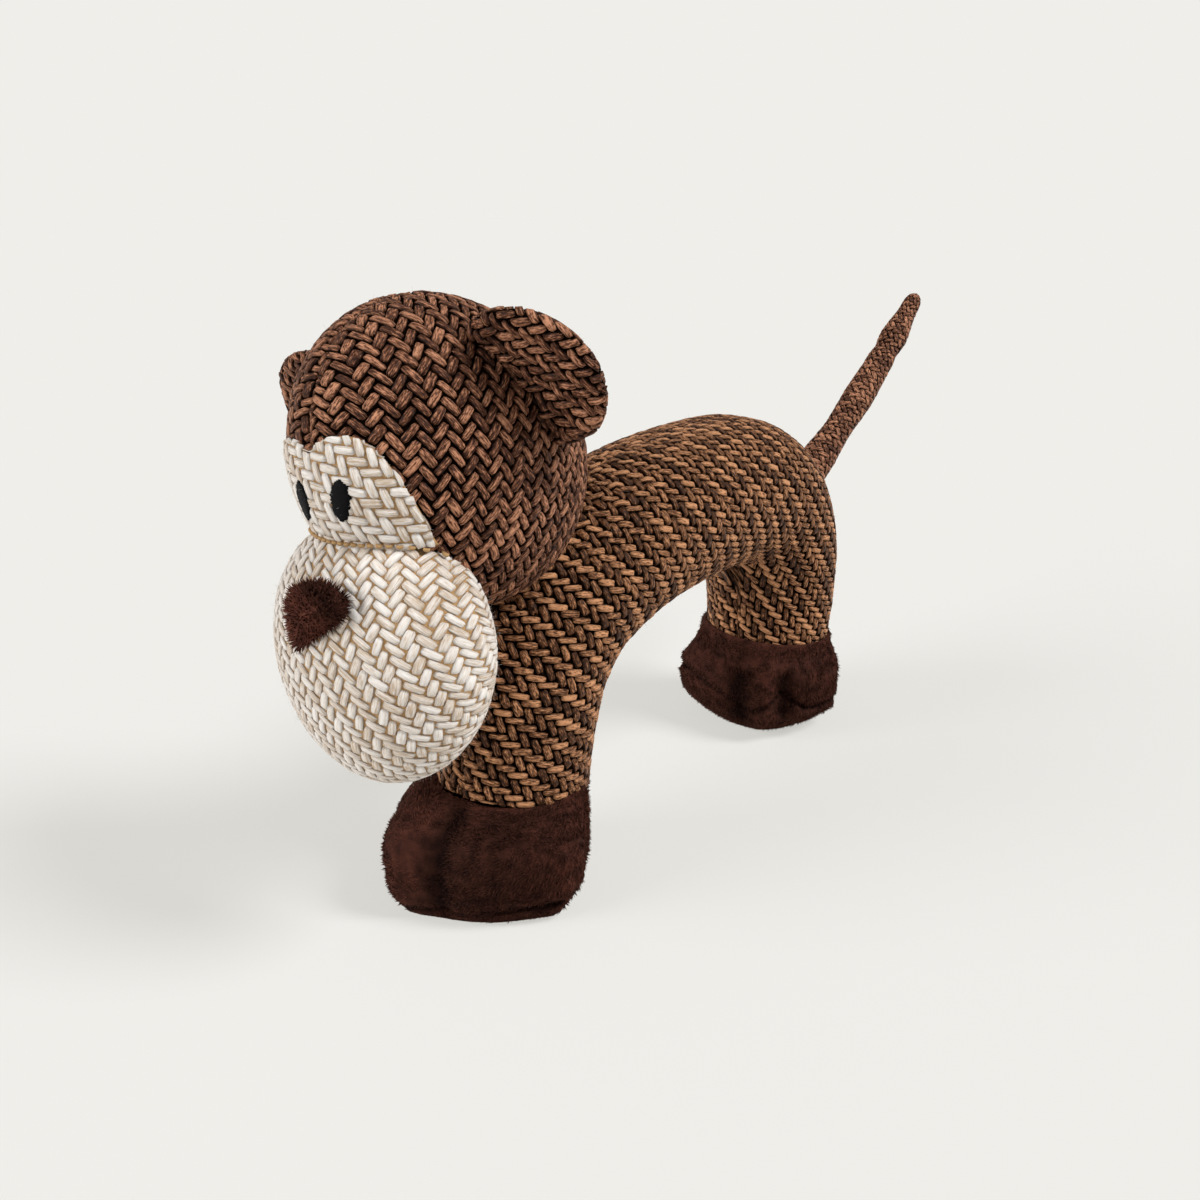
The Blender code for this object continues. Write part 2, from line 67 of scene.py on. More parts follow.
MM = 0.001
CLOTH_WIDTH = 0.40
TUCK = 0.5 * MM
WHOLE = -1.0
SAME = 0.1
SEAM_ROWS = (0.6 * MM, 1.4 * MM, 2.4 * MM)
STRAND_REACH = 1.12
LENGTH_SPREAD = (0.95, 1.05)
WIDTH_SPREAD = (0.86, 1.12)
HEIGHT_SPREAD = (0.85, 1.15)
HAIR_SPREAD = (0.6, 1.3)
LOG = logging.getLogger("toy")


class Side(Enum):
    """The toy's own left and right."""

    LEFT = 1
    RIGHT = -1

    @property
    def word(self) -> str:
        """The side's name, as the pieces use it."""
        return self.name.lower()


def toy_shift() -> Array:
    """How far the toy's own origin, under the front leg, lies from the frame's origin."""
    low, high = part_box("front_foot_sole")
    return np.array([(low.x + high.x) / 2, (low.y + high.y) / 2, 0.0])


SHIFT = toy_shift()


def unit(vectors: Array) -> Array:
    """Vectors of the same directions with length 1."""
    return vectors / np.maximum(np.linalg.norm(vectors, axis=-1, keepdims=True), 1e-12)


def through(rows: Array, share: Array) -> Array:
    """Read a smooth curve through rows of numbers, by Catmull-Rom.

    Args:
        rows: the rows that the curve passes, evenly spaced along it.
        share: places along the curve, from 0 to 1.

    Returns:
        One row for each place.
    """
    rows = np.asarray(rows, float)
    spans = len(rows) - 1
    place = np.clip(share, 0, 1) * spans
    span = np.minimum(place.astype(int), spans - 1)
    t = (place - span)[:, None]
    padded = np.vstack([2 * rows[0] - rows[1], rows, 2 * rows[-1] - rows[-2]])
    a, b, c, d = (padded[span + k] for k in range(4))
    return 0.5 * (2 * b + (c - a) * t + (2 * a - 5 * b + 4 * c - d) * t**2 + (3 * b - a - 3 * c + d) * t**3)


def lengths(points: Array) -> Array:
    """The distance run along axis 0 of a grid of points."""
    steps = np.linalg.norm(np.diff(points, axis=0), axis=-1)
    return np.concatenate([np.zeros_like(steps[:1]), np.cumsum(steps, axis=0)])


def smoothstep(low: float, high: float, value: Array) -> Array:
    """Rise smoothly from 0 at low to 1 at high."""
    share = np.clip((value - low) / (high - low), 0, 1)
    return share * share * (3 - 2 * share)


def bell(value: Array, width: float) -> Array:
    """A bell curve of height 1 about zero."""
    return np.exp(-((value / width) ** 2))


def turn_about_y(degrees: float) -> Array:
    """A turn about the Y axis as a matrix."""
    return np.array(Matrix.Rotation(math.radians(degrees), 3, "Y"))


def quads(number: Array) -> Array:
    """The faces between the points of a grid, from the points' numbers."""
    corners = [number[:-1, :-1], number[1:, :-1], number[1:, 1:], number[:-1, 1:]]
    return np.stack(corners, axis=-1).reshape(-1, 4)


def dome(reach: float, rows: int, columns: int) -> tuple[Array, Array]:
    """Angles from a pole and round it, for a grid whose first row is that pole."""
    return np.linspace(0, reach, rows)[:, None], np.linspace(0, math.tau, columns)[None]


def front_ball(rise: Array, turn: Array, face: int = 1) -> Array:
    """Points of a unit ball about its foremost point, or about its hindmost one."""
    return np.stack([np.sin(rise) * np.cos(turn), -face * np.cos(rise) + 0 * turn,
                     np.sin(rise) * np.sin(turn)], axis=-1)


def fan(reach: Array, turn: Array, mirror: int) -> Array:
    """A polar grid's first guess on the flat cloth, from its reach and its turn."""
    return np.stack([mirror * np.cos(turn) * reach, np.sin(turn) * reach], axis=-1)


def keep(mesh: bpy.types.Mesh, label: str, values: Array) -> None:
    """Keep a number or a vector at each of a mesh's points."""
    kind, key = ("FLOAT_VECTOR", "vector") if values.ndim == 2 else ("FLOAT", "value")
    mesh.attributes.new(label, kind, "POINT").data.foreach_set(key, np.ascontiguousarray(values).ravel())


def points_of(mesh: bpy.types.Mesh) -> Array:
    """The places of a mesh's points."""
    found = np.zeros(len(mesh.vertices) * 3)
    mesh.vertices.foreach_get("co", found)
    return found.reshape(-1, 3)


def linked(name: str, data: bpy.types.ID) -> bpy.types.Object:
    """Return a new object of the scene for a mesh, a lamp or a camera."""
    item = bpy.data.objects.new(name, data)
    bpy.context.scene.collection.objects.link(item)
    return item


def merge(item: bpy.types.Object, *others: bpy.types.Object) -> None:
    """Add other objects' meshes to an object's mesh."""
    with bpy.context.temp_override(active_object=item, selected_editable_objects=[item, *others]):
        bpy.ops.object.join()


def lay_flat(place: Array, flat: Array, rounds: int, polar: bool) -> Array:
    """Press a panel flat so that its threads keep their lengths as well as they can.

    Args:
        place: the grid of points on the toy.
        flat: a first guess of the same points on the flat cloth.
        rounds: how often the lengths are mended.
        polar: whether the first row is one point and the last column meets the first.

    Returns:
        The points on the flat cloth.
    """
    flat = flat.copy()
    spans = []
    for down, along in ((1, 0), (0, 1), (1, 1), (1, -1)):
        first = (slice(0, -1 if down else None), slice(1 if along < 0 else 0, -1 if along > 0 else None))
        second = (slice(down, None), slice(1 if along > 0 else 0, -1 if along < 0 else None))
        spans.append((first, second, np.linalg.norm(place[second] - place[first], axis=-1)))
    for _ in range(rounds):
        moves = np.zeros_like(flat)
        count = np.zeros(flat.shape[:2] + (1,))
        for first, second, length in spans:
            gap = flat[second] - flat[first]
            reach = np.maximum(np.linalg.norm(gap, axis=-1), 1e-9)
            move = gap * (0.5 * (reach - length) / reach)[..., None]
            moves[first] += move
            moves[second] -= move
            count[first] += 1
            count[second] += 1
        flat += moves / count
        if polar:
            flat[:, 0] = flat[:, -1] = (flat[:, 0] + flat[:, -1]) / 2
            flat[0] = flat[0].mean(axis=0)
    return flat


@dataclass(frozen=True)
class Swelling:
    """A cloth simulation that swells a panel: how full it is cut, how it is held, and how stiff it is."""

    fullness: float = 1.08
    held: float = 1.6 * MM
    scale: float = 10.0
    frames: int = 20
    quality: int = 6
    mass: float = 0.3
    stretch: float = 25.0
    shear: float = 8.0
    bending: float = 0.15
    pressure: float = 4.0

    def run(self, item: bpy.types.Object, cut: bpy.types.ShapeKey, pins: str) -> Array:
        """Swell an object.

        Args:
            item: the object, which is removed afterwards.
            cut: its shape key with the cloth as it is cut.
            pins: its vertex group of held points.

        Returns:
            The places where its points come to rest.
        """
        cloth = item.modifiers.new("cloth", "CLOTH").settings
        cloth.vertex_group_mass = pins
        cloth.rest_shape_key = cut
        cloth.quality = self.quality
        cloth.mass = self.mass
        cloth.tension_stiffness = cloth.compression_stiffness = self.stretch
        cloth.shear_stiffness = self.shear
        cloth.bending_stiffness = self.bending
        cloth.use_pressure = True
        cloth.uniform_pressure_force = self.pressure
        cloth.effector_weights.gravity = 0
        for step in range(1, self.frames + 1):
            bpy.context.scene.frame_set(step)
        found = points_of(item.evaluated_get(bpy.context.evaluated_depsgraph_get()).data) / self.scale
        bpy.data.objects.remove(item)
        bpy.context.scene.frame_set(1)
        return found


@dataclass
class Panel:
    """A cut piece of cloth: a grid of points on the toy, and the same points on the flat cloth.

    The flat cloth's first direction, its second and the way out of the toy are right-handed. Where cover is
    below zero, the panel is hidden and bears no yarn. A first or last row smaller than the smallest ring
    closes to a point, and points nearer than the closeness are one.
    """

    place: Array
    flat: Array
    cover: Array
    polar: bool = False
    smallest_ring: float = 1.5 * MM
    closeness: float = 0.001 * MM

    def slopes(self, grid: Array) -> tuple[Array, Array]:
        """Slopes of a grid along its rows and its columns."""
        if not self.polar:
            return np.gradient(grid, axis=0), np.gradient(grid, axis=1)
        wide = np.concatenate([grid[:, -2:-1], grid, grid[:, 1:2]], axis=1)
        return np.gradient(grid, axis=0), np.gradient(wide, axis=1)[:, 1:-1]

    def outward(self) -> Array:
        """The directions out of the toy at the grid's points."""
        place_a, place_b = self.slopes(self.place)
        flat_a, flat_b = self.slopes(self.flat)
        turn = np.sign(flat_a[..., 0] * flat_b[..., 1] - flat_a[..., 1] * flat_b[..., 0])
        out = unit(np.cross(place_a, place_b) * np.median(turn))
        if self.polar:
            out[0] = unit(out[1].mean(axis=0))
        return out

    def tucked(self, depths: tuple[float, ...], edge: str, run_out: float = TUCK) -> "Panel":
        """Turn one edge of the panel inwards, as a seam allowance.

        Args:
            depths: how deep each added row lies.
            edge: which edge is turned in: the "top" or "bottom" row, or the "first" or "last" column.
            run_out: how far the cloth runs on before it turns in.

        Returns:
            The larger panel.
        """
        grids = [self.place, self.flat, self.cover, self.outward()]
        across = edge in ("first", "last")
        back = edge in ("top", "first")
        if across:
            grids = [grid.swapaxes(0, 1) for grid in grids]
        if back:
            grids = [grid[::-1] for grid in grids]
        place, flat, cover, out = grids
        slope = unit(place[-1] - place[-2])
        run = unit(flat[-1] - flat[-2])
        place = np.concatenate([place] + [(place[-1] + slope * run_out - out[-1] * depth)[None]
                                          for depth in depths])
        flat = np.concatenate([flat] + [(flat[-1] + run * (run_out + depth))[None] for depth in depths])
        cover = np.concatenate([cover] + [cover[-1:] for _ in depths])
        grids = [place, flat, cover]
        if back:
            grids = [grid[::-1] for grid in grids]
        if across:
            grids = [grid.swapaxes(0, 1) for grid in grids]
        return Panel(*grids, self.polar)

    def stuffed(self, swelling: Swelling) -> "Panel":
        """Swell the panel by cloth simulation, cut fuller than its place and held along its edges.

        Args:
            swelling: how full the panel is cut, and how it swells.
        """
        out = self.outward()
        rows, columns = self.cover.shape
        number = np.arange(rows * columns).reshape(rows, columns)
        mesh = bpy.data.meshes.new("swelling")
        mesh.from_pydata((self.place * swelling.scale).reshape(-1, 3).tolist(), [], quads(number).tolist())
        face = mesh.polygons[rows]
        if face.normal.dot(Vector(out.reshape(-1, 3)[face.vertices[0]])) < 0:
            mesh.flip_normals()
        item = linked("swelling", mesh)
        item.shape_key_add(name="Basis")
        cut = item.shape_key_add(name="cut")
        flat = np.concatenate([self.flat, np.zeros((rows, columns, 1))], axis=-1)
        flat = flat * swelling.scale * swelling.fullness
        cut.data.foreach_set("co", flat.reshape(-1, 3).ravel())
        edges = np.unique(np.concatenate([number[0], number[-1], number[:, 0], number[:, -1]]))
        item.vertex_groups.new(name="pins").add([int(k) for k in edges], 1.0, "REPLACE")
        found = swelling.run(item, cut, "pins").reshape(rows, columns, 3)
        move = np.clip(((found - self.place) * out).sum(axis=-1), -swelling.held, swelling.held)
        LOG.info("swelling moved points from %.2f to %.2f mm", move.min() / MM, move.max() / MM)
        return Panel(self.place + out * move[..., None], self.flat, self.cover, self.polar)

    def mesh(self, name: str, depth: float, hidden: float, **values: Array) -> bpy.types.Mesh:
        """Make the panel's surface, with its flat place as a UV map.

        Args:
            name: the mesh's name.
            depth: how far the surface lies inside the panel.
            hidden: the cover below which the surface is left out.
            values: more numbers to keep at the grid's points, by name.

        Returns:
            A mesh with the attributes "out" and "cover", whose seam columns and poles are closed.
        """
        out = self.outward()
        rows, columns = self.cover.shape
        place = self.place - out * depth + SHIFT
        for row in (0, -1):
            if np.ptp(place[row], axis=0).max() < self.smallest_ring:
                place[row] = place[row].mean(axis=0)
        place = place.reshape(-1, 3)
        faces = quads(np.arange(rows * columns).reshape(rows, columns))
        cover = self.cover.reshape(-1)
        faces = faces[cover[faces].max(axis=1) > hidden]
        corners = place[faces]
        facing = np.cross(corners[:, 2] - corners[:, 0], corners[:, 3] - corners[:, 1])
        if (facing * out.reshape(-1, 3)[faces[:, 0]]).sum() < 0:
            faces = faces[:, ::-1]
        used = np.unique(faces)
        renumber = np.zeros(len(place), int)
        renumber[used] = np.arange(len(used))
        mesh = bpy.data.meshes.new(name)
        mesh.from_pydata(place[used].tolist(), [], renumber[faces].tolist())
        keep(mesh, "out", out.reshape(-1, 3)[used])
        for label, numbers in {"cover": self.cover, **values}.items():
            keep(mesh, label, numbers.reshape(-1)[used])
        spread = self.flat.reshape(-1, 2)[faces.reshape(-1)] / CLOTH_WIDTH + 0.5
        mesh.uv_layers.new(name="flat").data.foreach_set("uv", spread.ravel())
        sewn = bmesh.new()
        sewn.from_mesh(mesh)
        bmesh.ops.remove_doubles(sewn, verts=sewn.verts, dist=self.closeness)
        bmesh.ops.dissolve_degenerate(sewn, edges=sewn.edges, dist=self.closeness)
        sewn.to_mesh(mesh)
        sewn.free()
        mesh.shade_smooth()
        return mesh


class Nodes:
    """Adds nodes to one tree and links their sockets by name."""

    def __init__(self, tree: bpy.types.NodeTree) -> None:
        """Keep the tree that the nodes go to."""
        self.tree = tree

    def fill(self, socket: bpy.types.NodeSocket, value: object) -> None:
        """Link a socket or set its value."""
        if isinstance(value, bpy.types.NodeSocket):
            self.tree.links.new(value, socket)
        else:
            socket.default_value = value

    def add(self, kind: str, sockets: dict[str, object], **settings: object) -> list[bpy.types.NodeSocket]:
        """Add a node.

        Args:
            kind: the node's type.
            sockets: the values or links of its inputs, by name.
            settings: its own settings, set first.

        Returns:
            The node's outputs in use.
        """
        node = self.tree.nodes.new(kind)
        for key, value in settings.items():
            setattr(node, key, value)
        for label, value in sockets.items():
            self.fill(next(s for s in node.inputs if s.enabled and s.name == label), value)
        return [socket for socket in node.outputs if socket.enabled]

    def placed(self, kind: str, *values: object, **settings: object) -> bpy.types.NodeSocket:
        """Add a node with the values or links of its inputs in order, and return its first output in use."""
        node = self.tree.nodes.new(kind)
        for key, value in settings.items():
            setattr(node, key, value)
        for socket, value in zip(node.inputs, values):
            self.fill(socket, value)
        return next(socket for socket in node.outputs if socket.enabled)

    def math(self, operation: str, *values: object) -> bpy.types.NodeSocket:
        """Add a Math node."""
        return self.placed("ShaderNodeMath", *values, operation=operation)

    def vector(self, operation: str, *values: object) -> bpy.types.NodeSocket:
        """Add a Vector Math node."""
        return self.placed("ShaderNodeVectorMath", *values, operation=operation)

    def scaled(self, vector: object, scale: object) -> bpy.types.NodeSocket:
        """Multiply a vector by a number."""
        node = self.tree.nodes.new("ShaderNodeVectorMath")
        node.operation = "SCALE"
        self.fill(node.inputs[0], vector)
        self.fill(node.inputs["Scale"], scale)
        return node.outputs[0]

    def triple(self, x: object, y: object, z: object) -> bpy.types.NodeSocket:
        """Join three numbers into a vector."""
        return self.add("ShaderNodeCombineXYZ", {"X": x, "Y": y, "Z": z})[0]

    def parts(self, vector: object) -> list[bpy.types.NodeSocket]:
        """Part a vector into its three numbers."""
        return self.add("ShaderNodeSeparateXYZ", {"Vector": vector})

    def plus(self, *values: object) -> bpy.types.NodeSocket:
        """Add numbers up."""
        total = values[0]
        for value in values[1:]:
            total = self.math("ADD", total, value)
        return total

    def minus(self, value: object, other: object) -> bpy.types.NodeSocket:
        """Take one number from another."""
        return self.math("SUBTRACT", value, other)

    def times(self, value: object, other: object) -> bpy.types.NodeSocket:
        """Multiply two numbers."""
        return self.math("MULTIPLY", value, other)

    def same(self, value: object, other: float) -> bpy.types.NodeSocket:
        """Say whether two whole numbers are the same."""
        return self.math("COMPARE", value, other, SAME)

    def about(self, value: object, centre: float, scale: object) -> bpy.types.NodeSocket:
        """Scale how far a number lies from a centre."""
        return self.times(self.minus(value, centre), scale)


class Paint(Nodes):
    """A material with a Principled shader, its nodes and its inputs."""

    def __init__(self, name: str) -> None:
        """Start the material."""
        self.material = bpy.data.materials.new(name)
        self.material.use_nodes = True
        super().__init__(self.material.node_tree)
        self.shader = self.tree.nodes["Principled BSDF"]

    def attribute(self, name: str, output: str = "Fac") -> bpy.types.NodeSocket:
        """Read a named attribute of the mesh."""
        node = self.tree.nodes.new("ShaderNodeAttribute")
        node.attribute_name = name
        return node.outputs[output]

    def grain(self, scale: float, detail: float) -> bpy.types.NodeSocket:
        """Noise on the object's own coordinates."""
        spot = self.add("ShaderNodeTexCoord", {})[3]
        return self.add("ShaderNodeTexNoise", {"Vector": spot, "Scale": scale, "Detail": detail})[0]

    def mixed(self, share: object, low: Colour, high: Colour) -> bpy.types.NodeSocket:
        """Mix two colours."""
        mix = self.tree.nodes.new("ShaderNodeMix")
        mix.data_type = "RGBA"
        for place, value in ((0, share), (6, (*low, 1)), (7, (*high, 1))):
            self.fill(mix.inputs[place], value)
        return mix.outputs[2]

    def bump(self, strength: float, distance: float, height: object) -> bpy.types.NodeSocket:
        """A fine relief."""
        return self.add("ShaderNodeBump", {"Strength": strength, "Distance": distance, "Height": height})[0]

    def done(self, **inputs: object) -> bpy.types.Material:
        """Fill the shader's inputs, named with low lines for spaces, and return the material."""
        for label, value in inputs.items():
            self.fill(self.shader.inputs[label.replace("_", " ")], value)
        return self.material


class Growth(Nodes):
    """A Geometry Nodes tree with named inputs, which turns a mesh into a richer one."""

    def __init__(self, name: str, inputs: dict[str, str]) -> None:
        """Start the tree.

        Args:
            name: the tree's name.
            inputs: the inputs' names, with the kinds of their sockets.
        """
        super().__init__(bpy.data.node_groups.new(name, "GeometryNodeTree"))
        face = self.tree.interface
        face.new_socket("Geometry", in_out="INPUT", socket_type="NodeSocketGeometry")
        for label, kind in inputs.items():
            face.new_socket(label, in_out="INPUT", socket_type=f"NodeSocket{kind}")
        face.new_socket("Geometry", in_out="OUTPUT", socket_type="NodeSocketGeometry")
        self.given = self.tree.nodes.new("NodeGroupInput").outputs
        self.end = self.tree.nodes.new("NodeGroupOutput").inputs

    def named(self, name: str, kind: str = "FLOAT") -> bpy.types.NodeSocket:
        """Read a named attribute."""
        return self.add("GeometryNodeInputNamedAttribute", {"Name": name}, data_type=kind)[0]

    def noted(self, geometry: object, name: str, value: object, domain: str) -> bpy.types.NodeSocket:
        """Keep a number as a named attribute."""
        sockets = {"Geometry": geometry, "Name": name, "Value": value}
        return self.add("GeometryNodeStoreNamedAttribute", sockets, data_type="FLOAT", domain=domain)[0]

    def chance(self, low: object, high: object, salt: int) -> bpy.types.NodeSocket:
        """A random number for each point or instance, from the tree's seed."""
        seed = self.plus(self.given["Seed"], float(salt))
        return self.add("FunctionNodeRandomValue", {"Min": low, "Max": high, "Seed": seed},
                        data_type="FLOAT")[0]

    def without(self, geometry: object, selection: object) -> bpy.types.NodeSocket:
        """Delete the selected points."""
        return self.add("GeometryNodeDeleteGeometry", {"Geometry": geometry, "Selection": selection},
                        domain="POINT")[0]

    def moved(self, geometry: object, position: object) -> bpy.types.NodeSocket:
        """Set the points' places."""
        return self.add("GeometryNodeSetPosition", {"Geometry": geometry, "Position": position})[0]

    def painted(self, geometry: object, material: object) -> bpy.types.NodeSocket:
        """Give the geometry a material."""
        return self.add("GeometryNodeSetMaterial", {"Geometry": geometry, "Material": material})[0]

    def joined(self, *geometries: object) -> bpy.types.NodeSocket:
        """Join geometries into one."""
        node = self.tree.nodes.new("GeometryNodeJoinGeometry")
        for geometry in reversed(geometries):
            self.tree.links.new(geometry, node.inputs[0])
        return node.outputs[0]

    def turned(self, primary: object, secondary: object) -> bpy.types.NodeSocket:
        """A turn that brings the third axis along one vector and the first axis towards another."""
        return self.add("FunctionNodeAxesToRotation", {"Primary Axis": primary, "Secondary Axis": secondary},
                        primary_axis="Z", secondary_axis="X")[0]

    def repeated(self, points: object, shape: str, rotation: object, scale: object,
                 salt: int) -> bpy.types.NodeSocket:
        """Repeat a shape on points as real faces, each copy with a tone of its own.

        Args:
            points: the points.
            shape: the name of the tree's input with the shape.
            rotation: how each copy is turned.
            scale: how large each copy is.
            salt: what parts the tones from the tree's other random numbers.

        Returns:
            The copies as one geometry, with the attribute "tone".
        """
        copy = self.add("GeometryNodeObjectInfo", {"Object": self.given[shape]})[4]
        copies = self.add("GeometryNodeInstanceOnPoints", {"Points": points, "Instance": copy,
                                                           "Rotation": rotation, "Scale": scale})[0]
        copies = self.noted(copies, "tone", self.chance(0.0, 1.0, salt), "INSTANCE")
        return self.add("GeometryNodeRealizeInstances", {"Geometry": copies})[0]

    def walled(self, geometry: object, wall: object) -> bpy.types.NodeSocket:
        """Turn a surface into a closed cloth, with its thickness inwards."""
        inward = self.times(wall, -1.0)
        lining = self.add("GeometryNodeExtrudeMesh", {"Mesh": geometry, "Offset Scale": inward,
                                                      "Individual": False})[0]
        lining = self.add("GeometryNodeFlipFaces", {"Mesh": lining})[0]
        both = self.joined(geometry, lining)
        return self.add("GeometryNodeMergeByDistance", {"Geometry": both, "Distance": 0.01 * MM})[0]

    def run(self, item: bpy.types.Object, values: dict[str, object]) -> bpy.types.Object:
        """Grow an object's mesh.

        Args:
            item: the object with the starting mesh.
            values: the values of the tree's inputs, by name.

        Returns:
            The same object with the grown, plain mesh.
        """
        modifier = item.modifiers.new(self.tree.name, "NODES")
        modifier.node_group = self.tree
        for socket in self.tree.interface.items_tree:
            if socket.in_out == "INPUT" and socket.name in values:
                modifier[socket.identifier] = values[socket.name]
        graph = bpy.context.evaluated_depsgraph_get()
        mesh = bpy.data.meshes.new_from_object(item.evaluated_get(graph))
        mesh.name = item.name
        item.modifiers.remove(modifier)
        item.data = mesh
        return item


def weave_growth() -> Growth:
    """Build the tree that weaves a panel: a two by two twill of yarn floats over a dark ground cloth."""
    numbers = dict.fromkeys(("Lean", "Width", "Height", "Wander", "Wall"), "Float")
    tree = Growth("weave", {"Weft": "Vector", "Warp": "Vector", "Count": "Int", "Seed": "Int", **numbers,
                            "Strand": "Object", "Yarn": "Material", "Ground": "Material"})
    given = tree.given
    span = tree.minus(given["Count"], 1.0)
    floats = tree.add("GeometryNodeMeshGrid", {"Size X": span, "Size Y": span, "Vertices X": given["Count"],
                                               "Vertices Y": given["Count"]})[0]
    here = tree.add("GeometryNodeInputPosition", {})[0]
    i, j, _ = tree.parts(tree.vector("FLOOR", tree.vector("ADD", here, (0.5, 0.5, 0.5))))
    beat = tree.math("FLOORED_MODULO", tree.plus(i, j), 4.0)
    warp, weft = tree.same(beat, 0.0), tree.same(beat, 2.0)
    floats = tree.noted(floats, "family", weft, "POINT")
    floats = tree.without(floats, tree.same(tree.plus(warp, weft), 0.0))
    family = tree.named("family")
    other = tree.minus(1.0, family)
    picks = tree.scaled(given["Weft"], tree.plus(i, tree.times(family, 0.5)))
    ends = tree.scaled(given["Warp"], tree.plus(j, tree.times(other, 0.5)))
    floats = tree.moved(floats, tree.vector("ADD", picks, ends))
    along, across = (tree.vector("ADD", tree.scaled(given["Weft"], one), tree.scaled(given["Warp"], two))
                     for one, two in ((family, other), (other, family)))

    spot = tree.vector("ADD", tree.scaled(here, 1 / CLOTH_WIDTH), (0.5, 0.5, 0.0))
    flat = tree.named("flat", "FLOAT_VECTOR")

    def sampled(value: bpy.types.NodeSocket, kind: str) -> list[bpy.types.NodeSocket]:
        """Read a value of the panel under a point of the flat cloth."""
        sockets = {"Mesh": given["Geometry"], "Value": value, "UV Map": flat, "Sample UV": spot}
        return tree.add("GeometryNodeSampleUVSurface", sockets, data_type=kind)

    cover, found = sampled(tree.named("cover"), "FLOAT")
    shown = tree.times(tree.math("GREATER_THAN", cover, 0.0), found)
    floats = tree.without(floats, tree.same(shown, 0.0))
    wander = tree.chance(tree.times(given["Wander"], -1.0), given["Wander"], 1)
    lean = tree.times(given["Lean"], tree.minus(other, family))
    x, y, _ = tree.parts(along)
    facing = tree.triple(0.0, 0.0, tree.plus(tree.math("ARCTAN2", y, x), lean, wander))
    rotation = tree.add("FunctionNodeEulerToRotation", {"Euler": facing})[0]
    width = tree.times(tree.vector("LENGTH", across), given["Width"])
    size = tree.triple(tree.times(tree.vector("LENGTH", along), tree.chance(*LENGTH_SPREAD, 2)),
                       tree.times(width, tree.chance(*WIDTH_SPREAD, 3)),
                       tree.times(given["Height"], tree.chance(*HEIGHT_SPREAD, 4)))
    floats = tree.repeated(floats, "Strand", rotation, size, 5)
    base, found = sampled(here, "FLOAT_VECTOR")
    floats = tree.without(floats, tree.same(found, 0.0))
    out, _ = sampled(tree.named("out", "FLOAT_VECTOR"), "FLOAT_VECTOR")
    rise = tree.scaled(tree.vector("NORMALIZE", out), tree.parts(here)[2])
    floats = tree.painted(tree.moved(floats, tree.vector("ADD", base, rise)), given["Yarn"])
    ground = tree.painted(tree.walled(given["Geometry"], given["Wall"]), given["Ground"])
    tree.fill(tree.end[0], tree.joined(floats, ground))
    return tree


def pile_growth() -> Growth:
    """Build the tree that grows plush pile on a skin, combed along the skin's own directions."""
    numbers = dict.fromkeys(("Density", "Length", "Lean", "Stray"), "Float")
    tree = Growth("pile", {**numbers, "Seed": "Int", "Hair": "Object", "Pile": "Material"})
    given = tree.given
    points, normal, _ = tree.add("GeometryNodeDistributePointsOnFaces", {
        "Mesh": given["Geometry"], "Density": given["Density"], "Seed": given["Seed"]})
    upright = tree.scaled(normal, tree.minus(1.0, given["Lean"]))
    combed = tree.scaled(tree.named("comb", "FLOAT_VECTOR"), given["Lean"])
    stray = tree.triple(*(tree.chance(-1.0, 1.0, salt) for salt in (1, 2, 3)))
    way = tree.vector("ADD", tree.vector("ADD", upright, combed), tree.scaled(stray, given["Stray"]))
    length = tree.times(given["Length"], tree.chance(*HAIR_SPREAD, 4))
    hairs = tree.repeated(points, "Hair", tree.turned(way, normal), length, 5)
    tree.fill(tree.end[0], tree.joined(tree.painted(hairs, given["Pile"]), given["Geometry"]))
    return tree


def laid_growth() -> Growth:
    """Build the tree that lays a thread on each point, along, off and at the size that the point says."""
    tree = Growth("laid", {"Seed": "Int", "Strand": "Object", "Thread": "Material"})
    out, way, size = (tree.named(name, "FLOAT_VECTOR") for name in ("out", "way", "size"))
    points = tree.add("GeometryNodeMeshToPoints", {"Mesh": tree.given["Geometry"]})[0]
    threads = tree.repeated(points, "Strand", tree.turned(out, way), size, 1)
    tree.fill(tree.end[0], tree.painted(threads, tree.given["Thread"]))
    return tree


